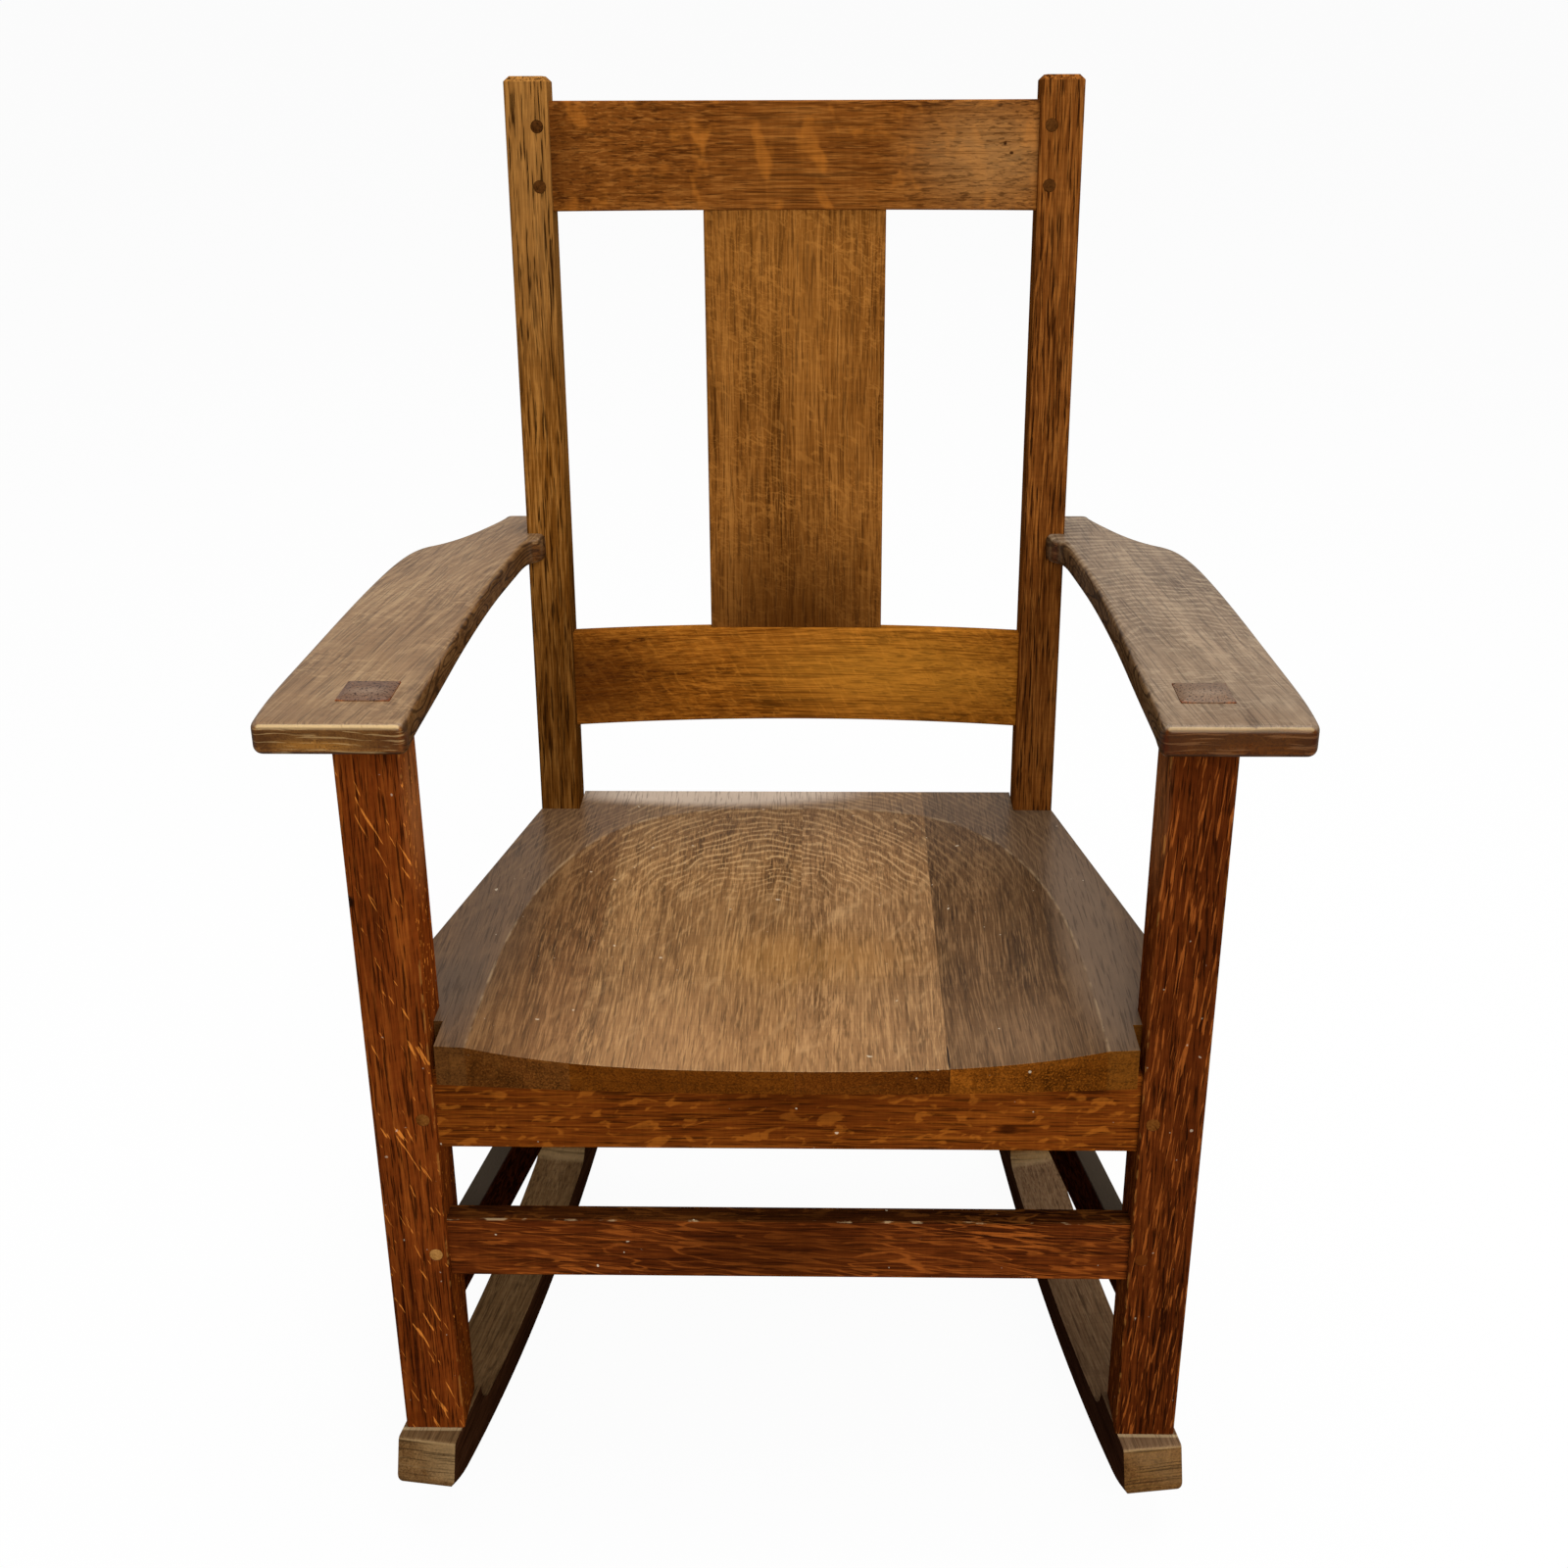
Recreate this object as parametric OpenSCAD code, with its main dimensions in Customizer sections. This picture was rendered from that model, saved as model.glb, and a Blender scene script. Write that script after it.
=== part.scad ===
// Mission rocking chair in oak: square posts, bowed back rails with one wide splat,
// shaped flat arms on through tenons, a scooped seat of glued boards and two sawn rockers.
// Every piece is drawn in the posts' frame: X to the sitter's left, Y back from the faces
// of the front posts, Z up from the rockers' front pads. at_rest() then leans the whole
// chair back to the attitude in which it comes to rest on the floor.

/* [Front posts] */
// Width over the two front posts
front_w = 568; // [520:1:610]
// Side of each square front post
post_sq = 43; // [40:0.5:48]
// Height of the front posts up to the arms
arm_under = 555; // [520:1:600]
// Side of the square tenon that comes up through each arm
tenon_sq = 34; // [28:0.5:36]
// How far that tenon stands proud of the arm
tenon_proud = 3; // [1.5:0.5:6]

/* [Rear posts] */
// Width over the two rear posts
rear_w = 437; // [400:1:470]
// Width of each rear post
rear_post_w = 32.5; // [30:0.5:38]
// Depth of each rear post
rear_post_d = 32; // [30:0.5:38]
// From the front posts' faces back to the rear posts' faces, at the height of the seat
seat_run = 374; // [345:1:400]
// Length of the rear posts above the seat
back_rise = 589; // [560:1:640]
// Backward lean of the rear posts against the front ones, in degrees
back_lean = 3.2; // [1:0.1:6]
// Chamfer round the rear posts' tops
top_chamfer = 4; // [2:0.5:7]

/* [Seat] */
// Height of the seat's rim above the rockers' front pads
seat_h = 336; // [300:1:370]
// Thickness of the seat boards
seat_t = 30; // [26:0.5:36]
// Greatest depth of the scoop
scoop_depth = 17; // [10:0.5:19]
// Depth of the scoop where it runs out over the front edge
front_dip = 12; // [6:0.5:15]
// Flat rim left beside the scoop at the front posts
side_rim = 27; // [18:1:50]
// Flat rim left behind the scoop
back_rim = 36; // [26:1:70]
// How far the seat's front corners stand forward of the posts
seat_over = 11; // [6:0.5:18]
// Further reach of the bowed front edge at its middle
front_bow = 9; // [0:0.5:16]
// How far the seat reaches behind the rear posts' faces
seat_tail = 38; // [34:1:50]
// Relief beside each front post
post_relief = 6.5; // [2:0.5:10]

/* [Rails] */
// Height of the rails under the seat
rail_h = 62; // [45:1:70]
// Thickness of the rails and stretchers
rail_t = 17; // [14:0.5:20]
// How far the front rail is set back from the posts' faces
rail_set = 6; // [4:0.5:10]
// From the front posts' outer faces in to the side rails' inner faces
side_in = 35; // [28:0.5:37]
// From the rear posts' inner faces out to the side rails' inner faces
side_rear_in = 8.7; // [6:0.1:11]
// Chamfer along the edges of posts, rails, stretchers and splat
arris = 1.2; // [0.5:0.1:2]

/* [Stretchers] */
// Height of the front stretcher
stretch_h = 49; // [36:1:60]
// Lower edge of the front stretcher
front_stretch_z = 135; // [120:1:165]
// Lower edge of the side and rear stretchers
side_stretch_z = 74.5; // [64:0.5:80]

/* [Back] */
// Height of the crest rail
crest_h = 80.5; // [70:0.5:92]
// From the tops of the rear posts down to the crest rail
crest_drop = 17.5; // [12:0.5:30]
// Height of the lower back rail
low_rail_h = 81; // [66:1:92]
// Gap between the seat and the lower back rail
low_rail_gap = 73; // [55:1:95]
// Thickness of the two back rails
back_rail_t = 14; // [13:0.5:18]
// How far the back rails' ends are set in from the posts' faces
back_set = 8; // [5:0.5:9]
// How far the back rails bow out behind their ends
back_bow = 18; // [10:1:24]
// Width of the splat
splat_w = 143; // [110:1:180]
// Thickness of the splat
splat_t = 10; // [8:0.5:11]

/* [Arms] */
// Thickness of the arms
arm_t = 20.8; // [19:0.2:24]
// Width of the arms at their widest, against the line from post to post
arm_w = 95; // [84:1:104]
// How far the arms reach forward of the front posts
arm_over = 35.5; // [30:0.5:45]
// How far the arms run on behind the rear posts' faces
arm_tail = 60; // [50:1:70]
// Rounding of the arms' edges
arm_round = 5; // [3:0.5:6]

/* [Rockers] */
// Radius of the rockers' undersides
rock_r = 960; // [850:5:1100]
// Thickness of the rockers between their pads
rock_t = 27; // [24:0.5:32]
// Width of the rockers
rock_w = 43.5; // [38:0.5:48]
// Height of the front pad over the lowest point of the arc
pad_rise = 51; // [48:0.5:56]
// Height of the rear pad over the front pad
rear_pad = 12; // [8:0.5:16]
// From the front posts' faces back to the lowest point of the arc
rock_low = 150; // [130:1:170]
// From the front posts' inner faces out to the rockers' inner faces
rock_front_in = 1.6; // [0:0.1:2.5]
// From the rear posts' inner faces out to the rockers' inner faces
rock_rear_in = 5; // [0:0.1:6]
// Reach of the rockers behind the front posts' faces
rock_tail = 560; // [520:1:620]
// Reach of the rockers' noses before the front posts' faces
nose = 26; // [20:0.5:32]
// Backward tilt at which the chair rests, in degrees
rest_tilt = 6.5; // [4:0.1:8]

/* [Joinery] */
// Diameter of the pegs through the tenons
peg_d = 9.5; // [8:0.5:10]
// Distance from a shoulder to the middle of the peg beside it
peg_in = 8.5; // [8:0.5:10]
// Depth of the pegs
peg_len = 21.5; // [20.5:0.5:22]
// Thickness of the tenons
tongue_t = 8; // [6:0.5:9]
// Shoulder above and below each tenon
shoulder = 7; // [5:0.5:9]
// Length of the tenons in the front posts, from the front
front_tenon = 24; // [20:0.5:28]
// Length of the tenons in the rear posts, from the sides
rear_tenon = 20; // [18:0.5:23]
// Clearance round a tenon in its mortise
joint_fit = 0.15; // [0.05:0.05:0.2]
// Space left beyond the end of a tenon, peg or screw
end_space = 0.6; // [0.3:0.1:1]
// Diameter of the dowels between rockers and posts
dowel_d = 16; // [12:0.5:18]
// Depth of those dowels in the rockers and in the posts
dowel_in = 22; // [18:0.5:24]

/* [Screws] */
// Diameter of the screws' shanks
screw_d = 4.5; // [4:0.5:5]
// Diameter of the screws' heads
head_d = 9; // [8:0.5:10]
// Depth of the screws in the seat
seat_bite = 16; // [12:0.5:18]
// Depth of the screws in the rear posts
post_bite = 20; // [16:0.5:24]
// Thickness of the corner blocks
block_t = 25; // [20:0.5:30]

/* [Hidden] */

fine = 96;       // facets of small rounds
broad = 720;     // facets of the long curves
over = 60;       // overrun of cuts

front_half = front_w / 2;
rear_half = rear_w / 2;
front_in = front_half - post_sq;
rear_in = rear_half - rear_post_w;
seat_low = seat_h - seat_t;
arm_top = arm_under + arm_t;

// Y of the rear posts' faces at a height
function face_y(z) = seat_run + (z - seat_h) * tan(back_lean);

// Rockers, side rails and side stretchers all run in from the front posts to the rear posts
rear_mid = face_y(rear_pad) + rear_post_d / 2;
rock_in = front_in + rock_front_in;
rock_toe = (rock_in - rear_in - rock_rear_in) / rear_mid;
toe = atan(rock_toe);
side_toe = (front_half - side_in - rear_in - side_rear_in) / (seat_run - post_sq);
side_turn = atan(side_toe);
// X of the side members' inner faces at a distance back
function side_x(y) = front_half - side_in - side_toe * (y - post_sq);
// Points of an arc
function arc(c, r, a0, a1, n) =
    [for (i = [0:n]) let (a = a0 + (a1 - a0) * i / n) c + r * [cos(a), sin(a)]];
// An outline with its corners cut again and again, towards a smooth curve
function smooth(pts, times) = times == 0 ? pts :
    smooth([for (i = [0:len(pts) - 1])
        let (p = pts[i], q = pts[(i + 1) % len(pts)])
        each [0.75 * p + 0.25 * q, 0.25 * p + 0.75 * q]], times - 1);
// An outline drawn in by a distance, for outlines that run anticlockwise
function drawn_in(pts, d) =
    let (n = len(pts))
    [for (i = [0:n - 1])
        let (t = pts[(i + 1) % n] - pts[(i + n - 1) % n])
        pts[i] + d * [-t.y, t.x] / norm(t)];
// The faces of a stack of rings of n points each, closed at both ends
function ring_faces(n, rings) = concat(
    [[for (i = [0:n - 1]) i]],
    [for (k = [0:rings - 2], i = [0:n - 1])
        let (j = (i + 1) % n)
        [k * n + i, (k + 1) * n + i, (k + 1) * n + j, k * n + j]],
    [[for (i = [n - 1:-1:0]) (rings - 1) * n + i]]);

// The chair comes to rest with its weight over the point where its rockers touch the floor
arc_z = rock_r - pad_rise;
low_u = rock_low / cos(toe);
touch = [rock_in + rock_w * cos(toe) - low_u * sin(toe), low_u * cos(toe) + rock_w * sin(toe), arc_z];
floor_z = touch.z * cos(rest_tilt) - touch.y * sin(rest_tilt)
    - rock_r * sqrt(1 - pow(sin(toe) * sin(rest_tilt), 2));
nose_arris = 0.07 * post_sq;
nose_round = 0.12 * post_sq;
nose_rake = 0.2 * post_sq;
nose_high = [-nose + nose_rake + nose_arris, -nose_arris];
nose_low = [-nose + nose_round,
    arc_z - sqrt(rock_r * rock_r - pow(low_u + nose, 2)) + 0.8 * nose_round];
tail_r = rock_t / 2;
tail_turn = asin((rock_tail / cos(toe) - low_u - tail_r) / (rock_r - tail_r));
tail_c = [low_u + (rock_r - tail_r) * sin(tail_turn), arc_z - (rock_r - tail_r) * cos(tail_turn)];
// Y of a point of the rocker's side face once the chair is at rest
function rest_y(u, z, w) =
    (u * cos(toe) + w * sin(toe)) * cos(rest_tilt) + z * sin(rest_tilt);
reach_turned = sqrt(pow(cos(toe) * cos(rest_tilt), 2) + pow(sin(rest_tilt), 2));
front_y = rest_y(nose_low.x, nose_low.y, 0) - nose_round * reach_turned;
back_y = rest_y(tail_c.x, tail_c.y, rock_w) + tail_r * reach_turned;

module at_rest()
    translate([0, -(front_y + back_y) / 2, -floor_z]) rotate([-rest_tilt, 0, 0]) children();

// The leaning frame of the back: Y = 0 is the rear posts' faces and Z = 0 the seat's rim
module leaning() translate([0, seat_run, seat_h]) rotate([-back_lean, 0, 0]) children();

module mirrored() mirror([1, 0, 0]) children();

// A section of a by b with chamfered corners
module section(a, b)
    polygon([[arris, 0], [a - arris, 0], [a, arris], [a, b - arris],
        [a - arris, b], [arris, b], [0, b - arris], [0, arris]]);
// A section whose corners are chamfered on its lower side only
module rail_section(a, b)
    polygon([[arris, 0], [a - arris, 0], [a, arris], [a, b], [0, b], [0, arris]]);
// A section drawn out along X, its first side along Y and its second up
module along_x(len) rotate([90, 0, 90]) linear_extrude(len) children();
// A section drawn out along Y, its first side along X and its second up
module along_y(len) translate([0, len, 0]) rotate([90, 0, 0]) linear_extrude(len) children();

// A block whose top edges are chamfered, run wide and rise high
module topped(w, d, h, run, rise) {
    intersection() {
        translate([0, d, 0]) rotate([90, 0, 0]) linear_extrude(d)
            polygon([[0, 0], [w, 0], [w, h - rise], [w - run, h], [run, h], [0, h - rise]]);
        rotate([90, 0, 90]) linear_extrude(w)
            polygon([[0, 0], [d, 0], [d, h - rise], [d - run, h], [run, h], [0, h - rise]]);
    }
}

// Screw with a countersunk, slotted head; its point is up and its head ends at Z = 0
head_h = head_d / 3;
slot_w = head_d / 8;
slot_d = head_h / 2;
module screw(len) {
    difference() {
        union() {
            cylinder(h = head_h, d1 = head_d, d2 = screw_d, $fn = fine);
            cylinder(h = len - screw_d, d = screw_d, $fn = fine);
            translate([0, 0, len - screw_d])
                cylinder(h = screw_d, d1 = screw_d, d2 = screw_d / 3, $fn = fine);
        }
        translate([-over, -slot_w / 2, -over]) cube([2 * over, slot_w, over + slot_d]);
    }
}
// The hole that the screw sits in
module screw_hole(len) {
    fit_d = screw_d + 2 * joint_fit;
    fit_head = head_d + 2 * joint_fit;
    cylinder(h = len + end_space, d = fit_d, $fn = fine);
    cylinder(h = head_h, d1 = fit_head, d2 = fit_d, $fn = fine);
    translate([0, 0, -over]) cylinder(h = over, d = fit_head, $fn = fine);
}

// Rockers: sawn to the arc, with a pad left standing under each post
pad_end = 1.03 * post_sq;
pad_run = rear_post_d / 2 + 0.2 * post_sq;
rear_u = rear_mid / cos(toe);
cove_r = 0.45 * post_sq;
cove_bite = rock_t / 60;
nose_line = nose_low - nose_high;
nose_side = 360 + atan2(nose_line.y, nose_line.x) - acos((nose_arris - nose_round) / norm(nose_line));
nose_pts = concat(arc(nose_high, nose_arris, 90, nose_side, 6),
    arc(nose_low, nose_round, nose_side, 270, 10));
nose_corner = 0.2 * post_sq;
nose_fade = 25;  // degrees

// Middle of a cove that begins at u and runs out on top of the rocker
function cove_mid(u, way) =
    let (m = u + way * cove_r)
    [m, arc_z - sqrt(pow(rock_r - rock_t - cove_r + cove_bite, 2) - pow(m - low_u, 2))];
front_cove = cove_mid(pad_end, 1);
rear_cove = cove_mid(rear_u - pad_run, -1);
module cove(mid) {
    translate(mid) circle(cove_r, $fn = fine);
    translate([mid.x - cove_r, mid.y]) square(2 * cove_r);
}

module rocker_2d() {
    intersection() {
        translate([low_u, arc_z]) circle(rock_r, $fn = broad);
        union() {
            difference() {
                translate([0, -pad_rise]) square([tail_c.x, rock_r]);
                translate([low_u, arc_z]) circle(rock_r - rock_t, $fn = broad);
                translate([low_u, arc_z]) rotate(tail_turn) translate([0, -rock_r - over])
                    square([rock_r, 2 * over + rock_t]);
            }
            translate(tail_c) circle(tail_r, $fn = fine);
            polygon(concat(nose_pts, [[pad_end, -pad_rise], [pad_end, 0]]));
            difference() {
                union() {
                    translate([0, -pad_rise]) square([front_cove.x, pad_rise]);
                    translate([rear_cove.x, -pad_rise])
                        square([rear_u + pad_run - rear_cove.x, pad_rise + rear_pad]);
                }
                cove(front_cove);
                cove(rear_cove);
            }
        }
    }
}

module in_rocker() translate([rock_in, 0, 0]) rotate([0, 0, toe]) children();

// What is taken off a lower corner of the nose; the rounding fades out behind it
module nose_cut() {
    translate([0, -nose, nose_low.y - nose_round]) rotate([-nose_fade, 0, 0])
        translate([0, -over, 0]) along_y(2 * over) difference() {
            translate([-over, -over]) square(over + nose_corner);
            translate([nose_corner, nose_corner]) circle(nose_corner, $fn = fine);
        }
}

module rocker() {
    color([0.36, 0.25, 0.15]) at_rest() difference() {
        in_rocker() rotate([90, 0, 90]) linear_extrude(rock_w) rocker_2d();
        in_rocker() {
            nose_cut();
            translate([rock_w, 0, 0]) mirrored() nose_cut();
        }
        dowel_holes();
    }
}

// Dowels that hold the posts on the rockers
front_mid = [front_half - post_sq / 2, post_sq / 2, 0];
module at_rear_foot() {
    leaning() translate([rear_half - rear_post_w / 2, rear_post_d / 2, (rear_pad - seat_h) / cos(back_lean)])
        children();
}
module dowel(extra) {
    translate([0, 0, -dowel_in - extra]) cylinder(h = 2 * (dowel_in + extra), d = dowel_d + (extra > 0 ?
        2 * joint_fit : 0), $fn = fine);
}
module dowel_holes() {
    translate(front_mid) dowel(end_space);
    at_rear_foot() dowel(end_space);
}
module rocker_dowels() {
    color([0.6, 0.42, 0.24]) at_rest() {
        for (side = [0, 1]) mirror([side, 0, 0]) {
            translate(front_mid) dowel(0);
            at_rear_foot() dowel(0);
        }
    }
}

// Seat rails and stretchers between the front posts
rail_z = seat_low - rail_h;
tongue_set = (rail_t - tongue_t) / 2;

module front_bar(z) translate([-front_in, rail_set, z]) along_x(2 * front_in) children();
module front_tongue(z, h, grow) {
    reach = front_in + front_tenon + (grow > 0 ? end_space : 0);
    translate([-reach, rail_set + tongue_set - grow, z + shoulder - grow])
        cube([2 * reach, tongue_t + 2 * grow, h - 2 * shoulder + 2 * grow]);
}
module front_peg(z, grow) {
    len = peg_len + (grow > 0 ? end_space : 0);
    for (side = [-1, 1]) translate([side * (front_in + peg_in), len, z])
        rotate([90, 0, 0]) cylinder(h = len + (grow > 0 ? over : 0), d = peg_d + 2 * grow, $fn = fine);
}
front_peg_z = rail_z + 0.42 * rail_h;
stretch_peg_z = front_stretch_z + 0.45 * stretch_h;

module front_seat_rail() {
    color([0.52, 0.24, 0.09]) at_rest() difference() {
        union() {
            front_bar(rail_z) rail_section(rail_t, rail_h);
            front_tongue(rail_z, rail_h, 0);
        }
        front_peg(front_peg_z, joint_fit);
    }
}
module front_stretcher() {
    color([0.5, 0.22, 0.09]) at_rest() difference() {
        union() {
            front_bar(front_stretch_z) section(rail_t, stretch_h);
            front_tongue(front_stretch_z, stretch_h, 0);
        }
        front_peg(stretch_peg_z, joint_fit);
    }
}
module front_rail_pegs() {
    color([0.4, 0.2, 0.08]) at_rest() front_peg(front_peg_z, 0);
}
module stretcher_pegs() {
    color([0.6, 0.42, 0.22]) at_rest() front_peg(stretch_peg_z, 0);
}

// Side rails and side stretchers, toed in from the front post to the rear post
side_front_tenon = 0.42 * post_sq;
side_rear_tenon = 0.33 * rear_post_d;
module ahead_of(y) {
    translate([-over, y - seat_run, -seat_h]) cube([front_half + 2 * over, seat_run, 2 * seat_h]);
}
module behind_face(y) {
    leaning() translate([-over, y, -2 * seat_h]) cube([front_half + 2 * over, seat_run, 3 * seat_h]);
}
module side_slab(z, set) {
    translate([front_half - side_in, post_sq, z]) rotate([0, 0, side_turn])
        translate([set, -post_sq, 0]) along_y(seat_run + 2 * post_sq) children();
}
module side_bar(z) {
    difference() {
        side_slab(z, 0) children();
        ahead_of(post_sq);
        behind_face(0);
    }
}
module side_tongue(z, h, grow) {
    deeper = grow > 0 ? end_space : 0;
    difference() {
        side_slab(z + shoulder - grow, tongue_set - grow)
            square([tongue_t + 2 * grow, h - 2 * shoulder + 2 * grow]);
        ahead_of(post_sq - side_front_tenon - deeper);
        behind_face(side_rear_tenon + deeper);
    }
}
module side_seat_rail() {
    color([0.42, 0.22, 0.1]) at_rest() {
        side_bar(rail_z) rail_section(rail_t, rail_h);
        side_tongue(rail_z, rail_h, 0);
    }
}
module side_stretcher() {
    color([0.3, 0.16, 0.08]) at_rest() {
        side_bar(side_stretch_z) section(rail_t, stretch_h);
        side_tongue(side_stretch_z, stretch_h, 0);
    }
}

// Rear rail and rear stretcher between the rear posts
rear_set = 0.23 * rear_post_d;
module rear_bar(z) translate([-rear_in, rear_set, z]) along_x(2 * rear_in) children();
module rear_tongue(z, h, grow) {
    reach = rear_in + rear_tenon + (grow > 0 ? end_space : 0);
    translate([-reach, rear_set + tongue_set - grow, z + shoulder - grow])
        cube([2 * reach, tongue_t + 2 * grow, h - 2 * shoulder + 2 * grow]);
}
rear_rail_z = rail_z - seat_h;
rear_stretch_z = side_stretch_z - seat_h;
module rear_seat_rail() {
    color([0.36, 0.2, 0.1]) at_rest() {
        difference() {
            leaning() rear_bar(rear_rail_z) rail_section(rail_t, rail_h + over);
            translate([-front_half, 0, seat_low]) cube([front_w, 2 * seat_run, over + rail_h]);
        }
        leaning() rear_tongue(rear_rail_z, rail_h, 0);
    }
}
module rear_stretcher() {
    color([0.3, 0.16, 0.08]) at_rest() leaning() {
        rear_bar(rear_stretch_z) section(rail_t, stretch_h);
        rear_tongue(rear_stretch_z, stretch_h, 0);
    }
}

// Front posts
module front_post() {
    proud_h = arm_top + tenon_proud;
    inset = (post_sq - tenon_sq) / 2;
    color([0.4, 0.18, 0.08]) at_rest() difference() {
        union() {
            translate([front_in, 0, 0]) linear_extrude(arm_under) section(post_sq, post_sq);
            translate([front_in + inset, inset, 0])
                topped(tenon_sq, tenon_sq, proud_h, 2 * tenon_proud, 0.8 * tenon_proud);
        }
        front_tongue(rail_z, rail_h, joint_fit);
        front_tongue(front_stretch_z, stretch_h, joint_fit);
        front_peg(front_peg_z, joint_fit);
        front_peg(stretch_peg_z, joint_fit);
        side_tongue(rail_z, rail_h, joint_fit);
        side_tongue(side_stretch_z, stretch_h, joint_fit);
        dowel_holes();
    }
}

// Rear posts
module rear_post() {
    foot = (rear_pad - seat_h) / cos(back_lean);
    color([0.45, 0.26, 0.11]) at_rest() difference() {
        leaning() translate([rear_in, 0, foot - over]) intersection() {
            topped(rear_post_w, rear_post_d, back_rise - foot + over, top_chamfer, top_chamfer);
            linear_extrude(back_rise - foot + over) section(rear_post_w, rear_post_d);
        }
        translate([0, 0, rear_pad - 3 * over]) cube([front_w, 2 * seat_run, 3 * over]);
        leaning() {
            rear_tongue(rear_rail_z, rail_h, joint_fit);
            rear_tongue(rear_stretch_z, stretch_h, joint_fit);
            back_tongue(crest_z, crest_h, joint_fit);
            back_tongue(low_rail_gap, low_rail_h, joint_fit);
            back_pegs(joint_fit);
        }
        side_tongue(rail_z, rail_h, joint_fit);
        side_tongue(side_stretch_z, stretch_h, joint_fit);
        dowel_holes();
        arm_screw_place() screw_hole(arm_screw_len);
    }
}

// Back rails, bowed between the rear posts
crest_z = back_rise - crest_drop - crest_h;
bow_r = (rear_in * rear_in + back_bow * back_bow) / (2 * back_bow);
bow_mid = back_set + back_bow;
back_tongue_set = back_set + (back_rail_t - tongue_t) / 2;
splat_in = low_rail_h / 10;
splat_tongue_t = 0.6 * splat_t;
splat_shoulder = splat_w / 24;
splat_y = bow_mid + back_rail_t / 2 - (splat_w * splat_w / 16) / (2 * bow_r);

module back_tongue(z, h, grow) {
    reach = rear_in + rear_tenon + (grow > 0 ? end_space : 0);
    for (side = [0, 1]) mirror([side, 0, 0])
        translate([rear_in - back_rail_t, back_tongue_set - grow, z + shoulder - grow])
            cube([reach - rear_in + back_rail_t, tongue_t + 2 * grow, h - 2 * shoulder + 2 * grow]);
}
module bowed_bar(z, h) {
    translate([0, 0, z]) intersection() {
        translate([0, bow_mid - bow_r, 0]) rotate_extrude($fn = broad)
            translate([bow_r, 0]) section(back_rail_t, h);
        translate([-rear_in, 0, 0]) cube([2 * rear_in, bow_r, h]);
    }
}
module back_pegs(grow) {
    len = peg_len + (grow > 0 ? end_space : 0);
    for (side = [-1, 1], z = [crest_z + 0.23 * crest_h, crest_z + 0.77 * crest_h])
        translate([side * (rear_in + peg_in), len, z]) rotate([90, 0, 0])
            cylinder(h = len + (grow > 0 ? over : 0), d = peg_d + 2 * grow, $fn = fine);
}
// The tongue's rear corner at the shoulder keeps inside the bowed rail
module tongue_in_rail(z, h) {
    intersection() {
        back_tongue(z, h, 0);
        union() {
            bowed_bar(z, h);
            for (side = [0, 1]) mirror([side, 0, 0])
                translate([rear_in, 0, z]) cube([rear_post_w, rear_post_d, h]);
        }
    }
}
module splat_tongue(grow) {
    w = splat_w - 2 * splat_shoulder;
    reach = splat_in + (grow > 0 ? end_space : 0);
    translate([-w / 2 - grow, splat_y - splat_tongue_t / 2 - grow, low_rail_gap + low_rail_h - reach])
        cube([w + 2 * grow, splat_tongue_t + 2 * grow, crest_z - low_rail_gap - low_rail_h + 2 * reach]);
}
module crest_rail() {
    color([0.5, 0.28, 0.11]) at_rest() leaning() difference() {
        union() {
            bowed_bar(crest_z, crest_h);
            tongue_in_rail(crest_z, crest_h);
        }
        back_pegs(joint_fit);
        splat_tongue(joint_fit);
    }
}
module lower_back_rail() {
    color([0.5, 0.28, 0.12]) at_rest() leaning() difference() {
        union() {
            bowed_bar(low_rail_gap, low_rail_h);
            tongue_in_rail(low_rail_gap, low_rail_h);
        }
        splat_tongue(joint_fit);
    }
}
module back_splat() {
    color([0.53, 0.32, 0.13]) at_rest() leaning() {
        translate([-splat_w / 2, splat_y - splat_t / 2, low_rail_gap + low_rail_h])
            linear_extrude(crest_z - low_rail_gap - low_rail_h) section(splat_w, splat_t);
        splat_tongue(0);
    }
}
module crest_rail_pegs() color([0.3, 0.16, 0.07]) at_rest() leaning() back_pegs(0);

// Seat: four boards glued edge to edge, then scooped together
seat_joint_shares = [-0.6, -0.2535, 0.0106, 0.192, 0.6];
scoop_power = 3.2;
scoop_rings = 9;
scoop_points = 56;
round_turn = 360;

function front_edge(x) =
    let (half = front_in - post_relief)
    -seat_over - front_bow * (1 - (x / half) * (x / half));
seat_half = let (relief = front_in - post_relief, gap = joint_fit) concat(
    [for (i = [0:12]) let (x = relief * i / 12) [x, front_edge(x)]],
    [[relief, post_sq / 2], [front_in - gap, post_sq / 2], [front_in - gap, post_sq + gap],
     [front_half, post_sq + gap], [rear_half, seat_run], [rear_half, seat_run + gap],
     [rear_in - gap, seat_run + gap], [rear_in - gap, seat_run + seat_tail]]);
seat_outline = concat(seat_half, [for (i = [len(seat_half) - 1:-1:1]) [-seat_half[i].x, seat_half[i].y]]);

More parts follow.
